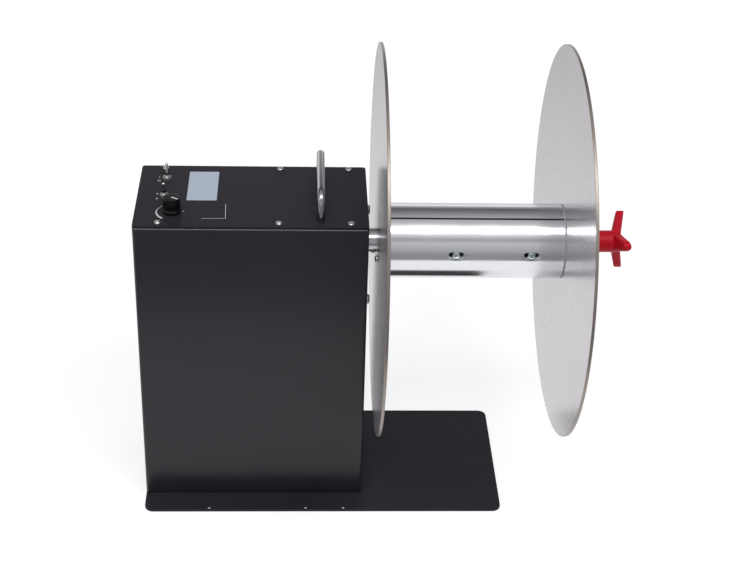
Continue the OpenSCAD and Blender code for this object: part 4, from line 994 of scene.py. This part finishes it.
def makeCamera(view):
    yaw, pitch, roll = (math.radians(view[k]) for k in ("yaw", "pitch", "roll"))
    ahead = Vector((math.sin(yaw) * math.cos(pitch), math.cos(yaw) * math.cos(pitch), -math.sin(pitch)))
    level = Vector((math.cos(yaw), -math.sin(yaw), 0))
    sink = ahead.cross(level)
    right = level * math.cos(roll) + sink * math.sin(roll)
    up = level * math.sin(roll) - sink * math.cos(roll)
    lens = bpy.data.cameras.new("photoCamera")
    lens.lens, lens.sensor_width = view["lensMm"], view["sensorMm"]
    lens.clip_start, lens.clip_end = view["clip"]
    camera = bpy.data.objects.new("photoCamera", lens)
    scene.collection.objects.link(camera)
    camera.matrix_world = Matrix.Translation(Vector(view["placeMm"]) * mm) @ Matrix(
        (right, up, -ahead)).transposed().to_4x4()
    scene.camera = camera


softLamps = {
    "frontSoftbox": {"at": (0.15, -0.84, 1.81), "to": (0.05, 0.0, 0.25), "size": (1.8, 0.5), "watts": 15.5},
    "backFill": {"at": (-0.2, 2.0, 0.75), "to": (0.05, 0.0, 0.2), "size": (2.6, 0.6), "watts": 2},
}


def makeLamps(lamps):
    for name, lamp in lamps.items():
        light = bpy.data.lights.new(name, "AREA")
        light.shape = "RECTANGLE"
        light.size, light.size_y = lamp["size"]
        light.energy = lamp["watts"]
        holder = bpy.data.objects.new(name, light)
        scene.collection.objects.link(holder)
        holder.location = lamp["at"]
        aim = Vector(lamp["to"]) - Vector(lamp["at"])
        holder.rotation_euler = aim.to_track_quat("-Z", "Y").to_euler()


roomLight = {
    "ambient": "#c4c6ca",
    "ambientStrength": 0.62,
    # what metal sees of the room, by the angle from the front horizon up over the ceiling to the back
    "seenInMetal": ((-180, 0.75), (-90, 0.3), (-36, 0.1), (-30, 0.3), (-16, 0.3), (2, 0.5), (21, 0.66),
                    (25, 0.58), (28, 0.36), (36, 0.5), (48, 0.95), (76, 0.85), (86, 0.55), (108, 0.4),
                    (122, 0.2), (142, 0.04), (148, 0.14), (155, 0.42), (166, 0.64), (180, 0.74)),
    # blue is stronger by this factor
    "coolTint": 1.03,
}


def makeRoom(room):
    world = bpy.data.worlds.new("studioRoom")
    scene.world = world
    world.use_nodes = True
    tree = world.node_tree
    tree.nodes.clear()
    path = addNode(tree, "ShaderNodeLightPath").outputs
    way = addNode(tree, "ShaderNodeTexCoord").outputs["Generated"]
    part = addNode(tree, "ShaderNodeSeparateXYZ", {0: way}).outputs
    front = addNode(tree, "ShaderNodeMath", {0: part["Y"], 1: -1.0}, operation="MULTIPLY").outputs[0]
    angle = addNode(tree, "ShaderNodeMath", {0: part["Z"], 1: front}, operation="ARCTAN2").outputs[0]
    share = addNode(tree, "ShaderNodeMapRange", {"Value": angle, "From Min": -math.pi,
                                                 "From Max": math.pi}).outputs[0]
    bands = addNode(tree, "ShaderNodeValToRGB", {0: share})
    stops = bands.color_ramp.elements
    stops.remove(stops[1])
    for number, (degrees, grey) in enumerate(room["seenInMetal"]):
        stop = stops[0] if number == 0 else stops.new((degrees + 180) / 360)
        stop.position = (degrees + 180) / 360
        stop.color = (grey, grey, grey * room["coolTint"], 1)
    glossy = addNode(tree, "ShaderNodeMath", {0: path["Is Glossy Ray"], 1: path["Is Transmission Ray"]},
                     operation="MAXIMUM").outputs[0]
    ambient = addNode(tree, "ShaderNodeBackground", {"Color": linear(room["ambient"]),
                                                     "Strength": room["ambientStrength"]})
    mirrored = addNode(tree, "ShaderNodeBackground", {"Color": bands.outputs[0], "Strength": 1.0})
    white = addNode(tree, "ShaderNodeBackground", {"Color": (1, 1, 1, 1), "Strength": 1.0})
    lit = addNode(tree, "ShaderNodeMixShader", {0: glossy, 1: ambient.outputs[0], 2: mirrored.outputs[0]})
    shown = addNode(tree, "ShaderNodeMixShader", {0: path["Is Camera Ray"], 1: lit.outputs[0],
                                                  2: white.outputs[0]})
    addNode(tree, "ShaderNodeOutputWorld", {"Surface": shown.outputs[0]})


paleFloor = {
    "low": (-6.0, -0.43),
    "high": (6.0, 8.0),
    "colour": "#bcbcbd",
    # lift beside the object, where its shadow shows, and far off
    "liftToCamera": (0.74, 0.95),
    "clearFrom": 0.8,
    "clearTo": 2.4,
    # metal sees the floor glow paler near the object than at the back: painted light in reflections
    "liftToMetal": (0.87, 0.46),
    "fadeFrom": 0.1,
    "fadeTo": 1.1,
}


def makeFloor(floor):
    (x0, y0), (x1, y1) = floor["low"], floor["high"]
    mesh = bpy.data.meshes.new("paleFloor")
    mesh.from_pydata([(x0, y0, 0), (x1, y0, 0), (x1, y1, 0), (x0, y1, 0)], [], [(0, 1, 2, 3)])
    made, tree, place = startMaterial("paintedFloorBoard")
    path = addNode(tree, "ShaderNodeLightPath").outputs
    spot = addNode(tree, "ShaderNodeSeparateXYZ", {0: place}).outputs
    # the floor's glow for glossy rays fades with distance: a painted pool of light near the object
    near, far = floor["liftToMetal"]
    fade = addNode(tree, "ShaderNodeMapRange", {"Value": spot["Y"], "From Min": floor["fadeFrom"],
                                                "From Max": floor["fadeTo"], "To Min": near, "To Max": far})
    beside, away = floor["liftToCamera"]
    metalLift = addNode(tree, "ShaderNodeMath", {0: path["Is Glossy Ray"], 1: fade.outputs[0]},
                        operation="MULTIPLY").outputs[0]
    reach = addNode(tree, "ShaderNodeVectorMath", {0: place}, operation="LENGTH").outputs["Value"]
    clear = addNode(tree, "ShaderNodeMapRange", {"Value": reach, "From Min": floor["clearFrom"],
                                                 "From Max": floor["clearTo"], "To Min": beside,
                                                 "To Max": away}).outputs[0]
    lift = addNode(tree, "ShaderNodeMath", {0: path["Is Camera Ray"], 1: clear, 2: metalLift},
                   operation="MULTIPLY_ADD").outputs[0]
    paint = addNode(tree, "ShaderNodeBsdfDiffuse", {"Color": linear(floor["colour"])})
    glow = addNode(tree, "ShaderNodeEmission", {"Color": (1, 1, 1, 1), "Strength": lift})
    both = addNode(tree, "ShaderNodeAddShader", {0: paint.outputs[0], 1: glow.outputs[0]})
    addNode(tree, "ShaderNodeOutputMaterial", {"Surface": both.outputs[0]})
    mesh.materials.append(made)
    ground = bpy.data.objects.new("paleFloor", mesh)
    scene.collection.objects.link(ground)


makeCamera(cameraView)
makeLamps(softLamps)
makeRoom(roomLight)
makeFloor(paleFloor)
print("stage set")
